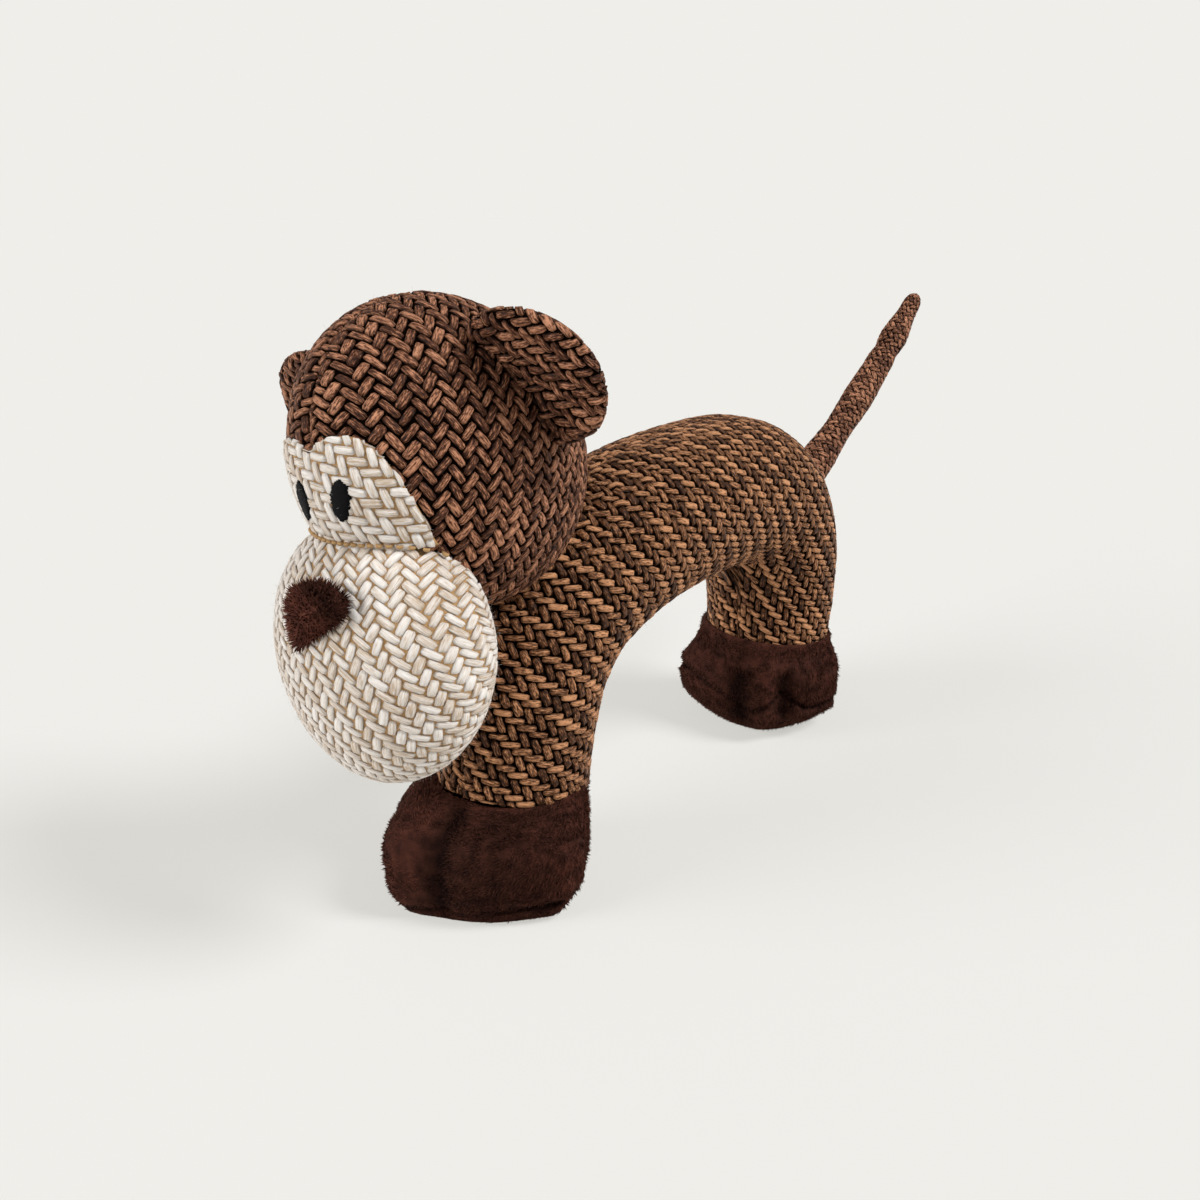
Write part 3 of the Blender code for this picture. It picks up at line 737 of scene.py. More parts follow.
@dataclass(frozen=True)
class YarnFinish:
    """A flat spun yarn: the colours of its shaded, middle and bright fibres, and how it catches the light."""

    name: str
    shade: Colour
    middle: Colour
    bright: Colour
    family_gain: float = 0.0
    roughness: float = 0.5
    sheen: float = 0.01
    streaks: float = 6.0
    speckles: float = 3.4
    contrast: float = 4.0
    variety: float = 91.0
    tone_gain: float = 0.55
    # Painted shade: each float is darkened towards its ends and sides by up to this share.
    end_shade: float = 0.75
    end_power: float = 5.0
    side_power: float = 4.0

    def material(self) -> bpy.types.Material:
        """Make the material, which reads each float's own tone, family and strand map."""
        paint = Paint(self.name)
        tone, family = paint.attribute("tone"), paint.attribute("family")
        u, v, _ = paint.parts(paint.attribute("strand", "Vector"))
        spot = paint.triple(paint.times(u, self.speckles), paint.times(v, self.streaks),
                            paint.times(tone, self.variety))
        streak = paint.add("ShaderNodeTexNoise", {"Vector": spot, "Scale": 1.0, "Detail": 3.0,
                                                  "Roughness": 0.7})[0]
        # Painted sheen: one yarn family is painted lighter, standing in for the light that its fibres catch.
        gains = (streak, self.contrast), (tone, self.tone_gain), (family, self.family_gain)
        lift = paint.plus(*(paint.about(value, 0.5, gain) for value, gain in gains), 0.5)
        ramp = paint.tree.nodes.new("ShaderNodeValToRGB")
        stops = ramp.color_ramp.elements
        stops[0].color = (*self.shade, 1)
        stops[1].color = (*self.bright, 1)
        stops.new(0.5).color = (*self.middle, 1)
        paint.fill(ramp.inputs[0], lift)
        # Painted shade towards each float's ends and sides, where it dives under its neighbours.
        edges = [paint.math("POWER", paint.math("ABSOLUTE", paint.about(across, 0.5, 2.0)), power)
                 for across, power in ((u, self.end_power), (v, self.side_power))]
        dim = paint.minus(1.0, paint.times(paint.math("MAXIMUM", *edges), self.end_shade))
        return paint.done(Base_Color=paint.scaled(ramp.outputs[0], dim), Roughness=self.roughness,
                          Normal=paint.bump(0.9, 0.3 * MM, streak), Sheen_Weight=self.sheen,
                          Sheen_Roughness=0.5, Specular_IOR_Level=0.12)


@dataclass(frozen=True)
class GroundFinish:
    """The cloth under the floats: thin cross threads on a darker weave."""

    name: str
    low: Colour
    high: Colour

    def material(self) -> bpy.types.Material:
        """Make the material from fine noise on the object's own coordinates."""
        paint = Paint(self.name)
        grain = paint.grain(2400.0, 2.0)
        return paint.done(Base_Color=paint.mixed(grain, self.low, self.high),
                          Normal=paint.bump(0.5, 0.1 * MM, grain), Roughness=0.9, Specular_IOR_Level=0.0)


@dataclass(frozen=True)
class PlushFinish:
    """Short dense pile: darker and lighter hairs, with painted shade and painted light from a stored
    attribute.
    """

    name: str
    root: Colour
    tip: Colour
    sheen: float = 0.06
    tone_gain: float = 0.30
    drift: float = 0.9
    level: float = 0.22
    sheen_tint: Colour = (0.70, 0.30, 0.22)

    def material(self) -> bpy.types.Material:
        """Make the material, lighter where the pile's tone is high."""
        paint = Paint(self.name)
        tone, pressed = paint.attribute("tone"), paint.attribute("pressed")
        drift = paint.about(paint.grain(330.0, 2.0), 0.5, self.drift)
        share = paint.plus(paint.times(tone, self.tone_gain), self.level, drift)
        # Painted shade where the stored value is above zero, painted light where it is below.
        colour = paint.scaled(paint.mixed(share, self.root, self.tip), paint.minus(1.0, pressed))
        return paint.done(Base_Color=colour, Roughness=0.75, Specular_IOR_Level=0.04, Sheen_Weight=self.sheen,
                          Sheen_Roughness=0.4, Sheen_Tint=(*self.sheen_tint, 1))


@dataclass(frozen=True)
class ThreadFinish:
    """A fine satin thread in one colour."""

    name: str
    colour: Colour
    roughness: float = 0.6

    def material(self) -> bpy.types.Material:
        """Make the material, with a fine twist along the thread."""
        paint = Paint(self.name)
        twist = paint.grain(5000.0, 1.0)
        tint = paint.scaled(self.colour, paint.plus(paint.times(twist, 0.8), 0.6))
        return paint.done(Base_Color=tint, Normal=paint.bump(0.2, 0.05 * MM, twist), Roughness=self.roughness,
                          Specular_IOR_Level=0.1)


def strand_template() -> bpy.types.Object:
    """Make one yarn float: a flat ribbon, crowned across, whose ends dive under its neighbours.

    Its length is in pitches, its width in pitches and its height 1.
    """
    along = (-STRAND_REACH, -1.0, -0.72, 0.0, 0.72, 1.0, STRAND_REACH)
    crown = (-1.0, 0.25, 0.88, 1.0, 0.88, 0.25, -1.0)
    narrow = (0.62, 0.76, 0.97, 1.04, 0.97, 0.76, 0.62)
    across = ((-0.5, -0.85), (-0.40, -0.12), (0.40, -0.12), (0.5, -0.85))
    points, faces, spots = [], [], []
    for x, z, width in zip(along, crown, narrow):
        for y, drop in across:
            points.append((x, y * width, z + drop))
            spots.append(((x - along[0]) / (along[-1] - along[0]), y + 0.5))
    last = len(across) - 1
    for i in range(len(along) - 1):
        for j in range(last):
            k = i * len(across) + j
            faces.append((k, k + len(across), k + len(across) + 1, k + 1))
    left = [i * len(across) for i in range(len(along))]
    right = [k + last for k in left]
    start = list(range(1, last))
    end = [left[-1] + j for j in start]
    faces.append(tuple(left[::-1] + start + right + end[::-1]))
    return template("strand_shape", points, faces, spots)


def hair_template() -> bpy.types.Object:
    """Make one hair of pile, 1 long: a thin spike of three sides."""
    width = 0.085
    points = [(width, 0, 0), (-width / 2, width * 1.6, 0), (-width / 2, -width * 1.6, 0), (0, 0, 1)]
    faces = [(0, 1, 3), (1, 2, 3), (2, 0, 3), (2, 1, 0)]
    return template("hair_shape", points, faces, [(0, 0)] * len(points))


def fibre_template() -> bpy.types.Object:
    """Make one loose fibre, 1 long: a thin bent spike."""
    width = 0.011
    points, faces = [], []
    for height, bend, share in ((0, 0, 1), (0.5, 0.10, 0.9), (1, 0.38, 0.5)):
        points += [(bend + width * share, 0, height), (bend - width * share / 2, width * share, height),
                   (bend - width * share / 2, -width * share, height)]
    for k in (0, 3):
        faces += [(k, k + 1, k + 4, k + 3), (k + 1, k + 2, k + 5, k + 4), (k + 2, k, k + 3, k + 5)]
    faces += [(2, 1, 0), (6, 7, 8)]
    return template("fibre_shape", points, faces, [(0, 0)] * len(points))


def template(name: str, points: list, faces: list, spots: list) -> bpy.types.Object:
    """Make a small shape to be repeated, with its own map, which leaves the scene at the end."""
    mesh = bpy.data.meshes.new(name)
    mesh.from_pydata(points, [], faces)
    layer = mesh.uv_layers.new(name="strand")
    for loop, spot in zip(mesh.loops, layer.data):
        spot.uv = spots[loop.vertex_index]
    mesh.shade_smooth()
    item = linked(name, mesh)
    item.hide_render = True
    return item


@dataclass
class Workshop:
    """The finishes, the repeated shapes and the trees that all the pieces share."""

    brown: YarnFinish = YarnFinish("brown_yarn", (0.026, 0.008, 0.004), (0.135, 0.050, 0.024),
                                   (0.54, 0.25, 0.14))
    # The body's yarn paints one family lighter, a painted sheen.
    body_brown: YarnFinish = YarnFinish("body_brown_yarn", (0.028, 0.010, 0.004), (0.17, 0.068, 0.028),
                                        (0.62, 0.30, 0.145), family_gain=0.42)
    cream: YarnFinish = YarnFinish("cream_yarn", (0.50, 0.38, 0.27), (0.73, 0.66, 0.59), (0.84, 0.80, 0.76),
                                   roughness=0.7, sheen=0.1, end_shade=0.3, streaks=5.0, speckles=1.4,
                                   contrast=2.6)
    # The near-black brown ground stands for the dark under-cloth and also paints the shade in the gaps
    # between floats.
    brown_ground: GroundFinish = GroundFinish("brown_ground", (0.001, 0.0005, 0.0003),
                                              (0.005, 0.0025, 0.0015))
    cream_ground: GroundFinish = GroundFinish("cream_ground", (0.20, 0.10, 0.04), (0.58, 0.38, 0.19))
    plush: PlushFinish = PlushFinish("dark_plush_pile", (0.016, 0.0055, 0.004), (0.137, 0.047, 0.030))
    nose: PlushFinish = PlushFinish("nose_pile", (0.020, 0.007, 0.005), (0.21, 0.070, 0.045), 0.10)
    brown_fuzz: ThreadFinish = ThreadFinish("brown_fuzz", (0.22, 0.10, 0.05), 0.6)
    cream_fuzz: ThreadFinish = ThreadFinish("cream_fuzz", (0.78, 0.72, 0.66), 0.6)
    eye: ThreadFinish = ThreadFinish("eye_satin", (0.002, 0.002, 0.0025))
    stitch: ThreadFinish = ThreadFinish("tan_stitch", (0.42, 0.26, 0.12), 0.7)
    materials: dict[str, bpy.types.Material] = field(default_factory=dict)

    def __post_init__(self) -> None:
        """Build the trees and the repeated shapes."""
        self.weave = weave_growth()
        self.pile = pile_growth()
        self.laid = laid_growth()
        self.strand = strand_template()
        self.hair = hair_template()
        self.fibre = fibre_template()

    def paint(self, finish: YarnFinish | GroundFinish | PlushFinish | ThreadFinish) -> bpy.types.Material:
        """Return a finish's material, made once."""
        if finish.name not in self.materials:
            self.materials[finish.name] = finish.material()
        return self.materials[finish.name]

    def threads(self, name: str, place: Array, way: Array, out: Array, size: Array,
                finish: ThreadFinish) -> bpy.types.Object:
        """Lay short threads on the toy.

        Args:
            name: the object's name.
            place: the threads' middles.
            way: the directions that they run in.
            out: the directions out of the toy.
            size: each thread's length, width and thickness.
            finish: their finish.

        Returns:
            The threads as one object.
        """
        mesh = bpy.data.meshes.new(name)
        mesh.from_pydata((place + SHIFT).tolist(), [], [])
        strand = np.array([0.5 / STRAND_REACH, 1.0, 1.0])
        for label, values in (("way", way), ("out", out), ("size", size * strand)):
            keep(mesh, label, values)
        return self.laid.run(linked(name, mesh),
                             {"Seed": 1, "Strand": self.strand, "Thread": self.paint(finish)})

    def close(self) -> None:
        """Take the repeated shapes out of the scene."""
        for shape in (self.strand, self.hair, self.fibre):
            bpy.data.objects.remove(shape)


@dataclass(frozen=True)
class Pile:
    """Hairs on a skin: how many a square metre bears, how long they are, how they lean and how they stray."""

    density: float
    length: float
    lean: float
    stray: float

    def grow(self, shop: Workshop, item: bpy.types.Object, hair: bpy.types.Object,
             finish: PlushFinish | ThreadFinish, seed: int) -> bpy.types.Object:
        """Grow the hairs on an object.

        Args:
            shop: the shared trees and finishes.
            item: the object.
            hair: the shape of one hair.
            finish: the hairs' finish.
            seed: the seed of their places.

        Returns:
            The same object with its hairs.
        """
        return shop.pile.run(item, {"Density": self.density, "Length": self.length, "Lean": self.lean,
                                    "Stray": self.stray, "Seed": seed, "Hair": hair,
                                    "Pile": shop.paint(finish)})


@dataclass(frozen=True)
class Cloth:
    """A woven cloth on one panel, with a few loose fibres."""

    yarn: YarnFinish
    ground: GroundFinish
    fuzz: ThreadFinish
    weft: tuple[float, float] = (2.2 * MM, 0.0)
    warp: tuple[float, float] = (2.2 * MM, 90.0)
    lean: float = 8.0
    width: float = 0.88
    height: float = 0.66 * MM
    wander: float = 4.0
    sink: float = 0.55 * MM
    wall: float = 0.7 * MM
    hidden: float = -3.0 * MM
    margin: float = 1.7
    loose: Pile = Pile(0.03e6, 1.1 * MM, 0.3, 0.8)

    def woven(self, shop: Workshop, name: str, panel: Panel, seed: int) -> bpy.types.Object:
        """Weave a panel.

        Args:
            shop: the shared trees and finishes.
            name: the object's name.
            panel: the panel.
            seed: the seed of the yarn's small irregularities.

        Returns:
            An object of yarn floats on their ground cloth.
        """
        item = linked(name, panel.mesh(name, self.sink, self.hidden))
        reach = float(np.abs(panel.flat).max()) * self.margin
        count = 2 * math.ceil(reach / min(self.weft[0], self.warp[0])) + 1
        ways = [(length * math.cos(math.radians(angle)), length * math.sin(math.radians(angle)), 0.0)
                for length, angle in (self.weft, self.warp)]
        shop.weave.run(item, {
            "Weft": ways[0], "Warp": ways[1], "Lean": math.radians(self.lean), "Count": count,
            "Width": self.width, "Height": self.height, "Wander": math.radians(self.wander),
            "Wall": self.wall, "Seed": seed, "Strand": shop.strand, "Yarn": shop.paint(self.yarn),
            "Ground": shop.paint(self.ground)})
        return self.loose.grow(shop, item, shop.fibre, self.fuzz, seed)


CREAM_FUZZ = Pile(0.12e6, 1.1 * MM, 0.3, 0.8)


@dataclass(frozen=True)
class Egg:
    """An egg-shaped form: its middle, its radii, how far its crown leans forward, and its tilt."""

    middle: tuple[float, float, float]
    radii: tuple[float, float, float]
    lean: float = 0.0
    tilt: float = 0.0
    tilt_arm: float = 0.0
    taper: float = 0.0

    def tilted(self, points: Array, back: bool = False) -> Array:
        """Turn points with the form's tilt, or back again."""
        pivot = np.array(self.middle) - np.array([0, 0, self.tilt_arm])
        turn = turn_about_y(-self.tilt)
        return pivot + (points - pivot) @ (turn if back else turn.T)

    def place(self, ball: Array) -> Array:
        """Points of the form's surface from their points on a unit ball."""
        leant = ball.copy()
        leant[..., 1] -= self.lean * ball[..., 2]
        leant[..., 0] *= 1 + self.taper * ball[..., 2]
        return self.tilted(np.array(self.middle) + leant * np.array(self.radii))

    def ball(self, points: Array) -> Array:
        """Points of a unit ball from their places in or round the form."""
        ball = (self.tilted(points, back=True) - np.array(self.middle)) / np.array(self.radii)
        ball[..., 1] += self.lean * ball[..., 2]
        ball[..., 0] /= 1 + self.taper * np.clip(ball[..., 2], -1, 1)
        return ball

    def depth(self, points: Array) -> Array:
        """How deep points lie inside the form, roughly."""
        return (1 - np.linalg.norm(self.ball(points), axis=-1)) * float(np.mean(self.radii))


@dataclass(frozen=True)
class Arch:
    """The body's tube: its middle line from the front ankle over the back to the rear one, and its radius."""

    stance: float = 0.1315
    ankle_height: float = 0.0285
    spine_height: float = 0.082
    front_diameter: float = 0.038
    rear_diameter: float = 0.0395
    torso_diameter: float = 0.0445
    front_setback: float = 0.009
    rear_setback: float = 0.002
    shoulder_shares: tuple = ((0.015, 0.28), (0.045, 0.55), (0.12, 0.78), (0.24, 0.90), (0.39, 0.98))
    rump_shares: tuple = ((0.59, 1.01), (0.77, 0.99), (0.90, 0.86), (0.98, 0.60), (1.005, 0.30))
    shoulder_swells: tuple = (0.25, 0.60, 0.93, 0.95, 1.0)
    rump_swells: tuple = (1.0, 1.02, 1.0, 0.75, 0.35)
    step: float = 0.5 / 24
    stations: int = 73
    probe: float = 0.2 * MM

    def table(self) -> Array:
        """Rows of y, z and radius along the middle line."""
        rise = self.spine_height - self.ankle_height
        front = (self.front_setback, self.ankle_height, self.front_diameter / 2)
        rear = (self.stance + self.rear_setback, self.ankle_height, self.rear_diameter / 2)
        rows = [front]
        for leg, places, swells in ((front, self.shoulder_shares, self.shoulder_swells),
                                    (rear, self.rump_shares, self.rump_swells)):
            for (along, height), swell in zip(places, swells):
                radius = leg[2] + (self.torso_diameter / 2 - leg[2]) * swell
                y = front[0] + (rear[0] - front[0]) * along
                rows.append((y, self.ankle_height + rise * height, radius))
        rows.append(rear)
        return np.array(rows)

    def line(self, share: Array) -> tuple[Array, Array, Array]:
        """The middle points, outward directions and radii at shares of the tube's length."""
        rows = self.table()
        here = through(rows, share)
        slope = through(rows, share + self.step) - through(rows, share - self.step)
        zero = np.zeros(len(here))
        middle = np.stack([zero, here[:, 0], here[:, 1]], axis=-1)
        outward = unit(np.stack([zero, -slope[:, 1], slope[:, 0]], axis=-1))
        return middle, outward, here[:, 2]

    def depth(self, points: Array) -> Array:
        """How deep points lie inside the tube."""
        middle, _, radius = self.line(np.linspace(0, 1, self.stations))
        reach = np.linalg.norm(points[..., None, :] - middle, axis=-1)
        return (radius - reach).max(axis=-1)

    def cleared(self, points: Array, gap: float) -> Array:
        """Points pressed out of the tube, to a gap from it, where they lie in it or nearer."""
        deep = self.depth(points)
        slope = np.stack([self.depth(points + self.probe * axis) - deep for axis in np.eye(3)], axis=-1)
        return points - unit(slope) * np.maximum(deep + gap, 0)[..., None]


@dataclass(frozen=True)
class HeadSizes:
    """Sizes of the head, the face patch, the muzzle, the nose and the eyes."""

    width: float = 0.053
    length: float = 0.070
    height: float = 0.069
    forward: float = 0.017
    neck_sink: float = 0.0273
    lean: float = 0.12
    tilt: float = 9
    tilt_arm: float = 0.011
    nod_share: float = 0.31
    patch_width: float = 0.036
    patch_rise: float = 0.009
    patch_dip: float = 0.005
    muzzle_width: float = 0.054
    muzzle_length: float = 0.039
    muzzle_height: float = 0.059
    muzzle_proud: float = 0.0065
    muzzle_overlap: float = 0.026
    muzzle_taper: float = 0.09
    nose_width: float = 0.021
    nose_height: float = 0.0165
    nose_depth: float = 0.0075
    nose_rise: float = 0.0125
    nose_point: float = 0.32
    eye_width: float = 0.0043
    eye_height: float = 0.0083
    eye_spacing: float = 0.011
    eye_drop: float = 0.003

    def egg(self, arch: Arch) -> Egg:
        """The head's form."""
        top = arch.spine_height + arch.torso_diameter / 2
        middle = (0.0, arch.front_setback - self.forward, top + self.height / 2 - self.neck_sink)
        radii = (self.width / 2, self.length / 2, self.height / 2)
        return Egg(middle, radii, self.lean, self.tilt, self.tilt_arm)

    def muzzle(self, arch: Arch) -> Egg:
        """The muzzle's form."""
        _, y, z = self.egg(arch).middle
        forward = (self.length - self.muzzle_length) / 2 + self.muzzle_proud
        drop = (self.height + self.muzzle_height) / 2 - self.muzzle_overlap
        radii = (self.muzzle_width / 2, self.muzzle_length / 2, self.muzzle_height / 2)
        return Egg((0.0, y - forward, z - drop), radii, taper=self.muzzle_taper)


@dataclass
class Toy:
    """What all the pieces need: the shared workshop and the main forms."""

    shop: Workshop = field(default_factory=Workshop)
    arch: Arch = Arch()
    sizes: HeadSizes = HeadSizes()

    def __post_init__(self) -> None:
        """Work out the head's and the muzzle's forms."""
        self.head = self.sizes.egg(self.arch)
        self.muzzle = self.sizes.muzzle(self.arch)

    def on_face(self, spots: Array, proud: float) -> tuple[Array, Array]:
        """Places on the face and the directions out of it.

        Args:
            spots: the places' x and z before the head's tilt.
            proud: how far off the head's form they lie.

        Returns:
            The places, and the directions.
        """
        head = self.head

        def place(x: Array, z: Array) -> Array:
            """A point of the head's surface."""
            across, up = x / head.radii[0], (z - head.middle[2]) / head.radii[2]
            return head.place(np.stack([across, -np.sqrt(1 - across**2 - up**2), up], axis=-1))

        x, z = spots[..., 0], spots[..., 1]
        here, step = place(x, z), 0.1 * MM
        out = unit(np.cross(place(x + step, z) - here, place(x, z + step) - here))
        return here + out * proud, out


def finished(item: bpy.types.Object, replaced: tuple[str, ...]) -> None:
    """Hide the solids that a piece stands for, and log how many faces it has."""
    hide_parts(*replaced)
    LOG.info("%s: %d faces", item.name, len(item.data.polygons))


@dataclass
class Body:
    """The arched body: two mirror panels of brown cloth over the stuffing."""

    toy: Toy
    rows: int = 110
    columns: int = 34
    mix: float = 0.92
    seam_depth: float = 0.55 * MM
    seam_width: float = 1.4 * MM
    leg_turn: float = -9.0
    back_turn: float = 3.0
    ankle_run: float = 1.4 * MM
    sewn_reach: float = 9 * MM
    gather: float = 4.2 * MM
    gather_reach: float = 13.0 * MM
    gather_depth: float = 1.15 * MM
    rounds: int = 900
    turning: tuple[float, float] = (0.10, 0.42)
    ankle_rows: tuple[float, ...] = (0.0, 0.8 * MM, 1.8 * MM)
    swelling: Swelling = Swelling()

    def middle_flat(self, middle: Array, outward: Array, share: Array) -> tuple[Array, Array]:
        """Lay the tube's middle line on the flat cloth, turned so that the yarns run as they do on the leg.

        Args:
            middle: the middle line's points.
            outward: the directions away from the inside of the arch.
            share: the points' shares of the line.

        Returns:
            The points on the flat cloth, and the directions there.
        """
        change = (self.back_turn - self.leg_turn) * smoothstep(*self.turning, share)
        turn = np.radians(self.leg_turn + change)
        steps = np.diff(middle[:, 1:], axis=0)
        half = (turn[1:] + turn[:-1]) / 2

        def turned(ways: Array, angle: Array) -> Array:
            """Turn directions in their plane."""
            return np.stack([ways[:, 0] * np.cos(angle) - ways[:, 1] * np.sin(angle),
                             ways[:, 0] * np.sin(angle) + ways[:, 1] * np.cos(angle)], axis=-1)

        line = np.concatenate([np.zeros((1, 2)), np.cumsum(turned(steps, half), axis=0)])
        return line, turned(outward[:, 1:], turn)

    def surface(self, side: Side) -> Panel:
        """Shape one side's panel."""
        arch = self.toy.arch
        share = np.linspace(0, 1, self.rows)
        middle, outward, radius = arch.line(share)
        turn = np.linspace(0, math.pi, self.columns)
        seam = bell(radius[:, None] * np.minimum(turn, math.pi - turn), self.seam_width)
        reach = radius[:, None] - self.seam_depth * seam
        across = np.array([side.value, 0, 0])
        place = middle[:, None] + reach[..., None] * (across * np.sin(turn)[:, None]
                                                      + outward[:, None] * np.cos(turn)[:, None])
        wide = (radius[:, None] * (math.pi / 2 - turn)) * self.mix
        line, ways = self.middle_flat(middle, outward, share)
        flat = (line[:, None] + ways[:, None] * wide[..., None]) * np.array([side.value, 1])
        flat -= (flat.max(axis=(0, 1)) + flat.min(axis=(0, 1))) / 2
        away = np.maximum(-self.toy.head.depth(place), 0)
        folds = np.cos(away * math.tau / self.gather) * np.exp(-away / self.gather_reach) * self.gather_depth
        place = place + Panel(place, flat, away).outward() * folds[..., None]
        flat = lay_flat(place, flat, self.rounds, polar=False)
        cover = self.sewn_reach - self.toy.head.depth(place)
        panel = Panel(place, flat, cover).stuffed(self.swelling)
        for edge in ("top", "bottom"):
            panel = panel.tucked(self.ankle_rows, edge, self.ankle_run)
        for edge in ("first", "last"):
            panel = panel.tucked(SEAM_ROWS, edge)
        for rows in (slice(0, 4), slice(-4, None)):
            panel.cover[rows, :4] = panel.cover[rows, -4:] = -0.1 * MM
        return panel

    def build(self) -> None:
        """Weave both panels and let them ride on the torso."""
        shop = self.toy.shop
        cloth = Cloth(shop.body_brown, shop.brown_ground, shop.brown_fuzz, weft=(2.35 * MM, -10.0),
                      warp=(2.0 * MM, 92.0), lean=9.0, width=0.80, hidden=WHOLE)
        for seed, side in enumerate(Side):
            name = f"body_{side.word}_cloth"
            item = cloth.woven(shop, name, self.surface(side), 10 + seed)
            replaced = (f"body_{side.word}_panel",) + (("body_stuffing",) if side is Side.LEFT else ())
            finished(item, replaced)
            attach(item, "torso")


@dataclass
class Head:
    """The domed head: two brown panels that meet in a middle seam, open round the face patch."""

    toy: Toy
    rows: int = 44
    columns: int = 72
    seam_depth: float = 0.5 * MM
    seam_width: float = 1.4 * MM
    neck_reach: float = 16 * MM
    neck_way: tuple[float, float, float] = (0.0, -1.0, 0.35)
    neck_gap: float = 0.8 * MM
    muzzle_lap: float = 1.0 * MM
    patch_lap: float = 1.3 * MM
    rounds: int = 300
    sewn_reach: float = 9 * MM

    def surface(self, side: Side) -> Panel:
        """Shape one side's panel, about the middle of that side."""
        toy = self.toy
        rise, turn = dome(math.pi / 2, self.rows, self.columns)
        ball = np.stack([side.value * np.cos(rise) + 0 * turn, np.sin(rise) * np.cos(turn),
                         np.sin(rise) * np.sin(turn)], axis=-1)
        place = toy.head.place(ball)
        reach = lengths(place)
        flat = lay_flat(place, fan(reach, turn, side.value), self.rounds, polar=True)
        cover = np.minimum(self.sewn_reach - toy.arch.depth(place), self.muzzle_lap - toy.muzzle.depth(place))
        cover = np.minimum(cover, self.patch_lap - FacePatch(toy).inside(place))
        place = toy.arch.cleared(place, self.neck_gap)
        panel = Panel(place, flat, cover, polar=True)
        out = panel.outward()
        seam = bell(reach[-1] - reach, self.seam_width)
        panel.place = place - out * (self.seam_depth * seam)[..., None]
        return panel.tucked(SEAM_ROWS, "bottom")

    def neck(self) -> tuple[Array, Array]:
        """Where the head's cloth leaves the body, and how far it takes to follow the head."""
        arch = self.toy.arch
        middle, outward, radius = arch.line(np.array([self.toy.sizes.nod_share]))
        pivot = middle[0] + outward[0] * radius[0]
        away = unit(np.array(self.neck_way))
        return pivot + SHIFT, pivot + SHIFT + away * self.neck_reach

    def build(self) -> None:
        """Weave both panels."""
        shop = self.toy.shop
        cloth = Cloth(shop.brown, shop.brown_ground, shop.brown_fuzz, weft=(2.2 * MM, -62.0),
                      warp=(2.2 * MM, 40.0), lean=3.0, width=0.80, hidden=WHOLE)
        start, end = self.neck()
        for seed, side in enumerate(Side):
            name = f"head_{side.word}_cloth"
            item = cloth.woven(shop, name, self.surface(side), 20 + seed)
            replaced = (f"head_{side.word}_panel",) + (("head_stuffing",) if side is Side.LEFT else ())
            finished(item, replaced)
            tuple(start)
            tuple(end)
            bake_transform(item)


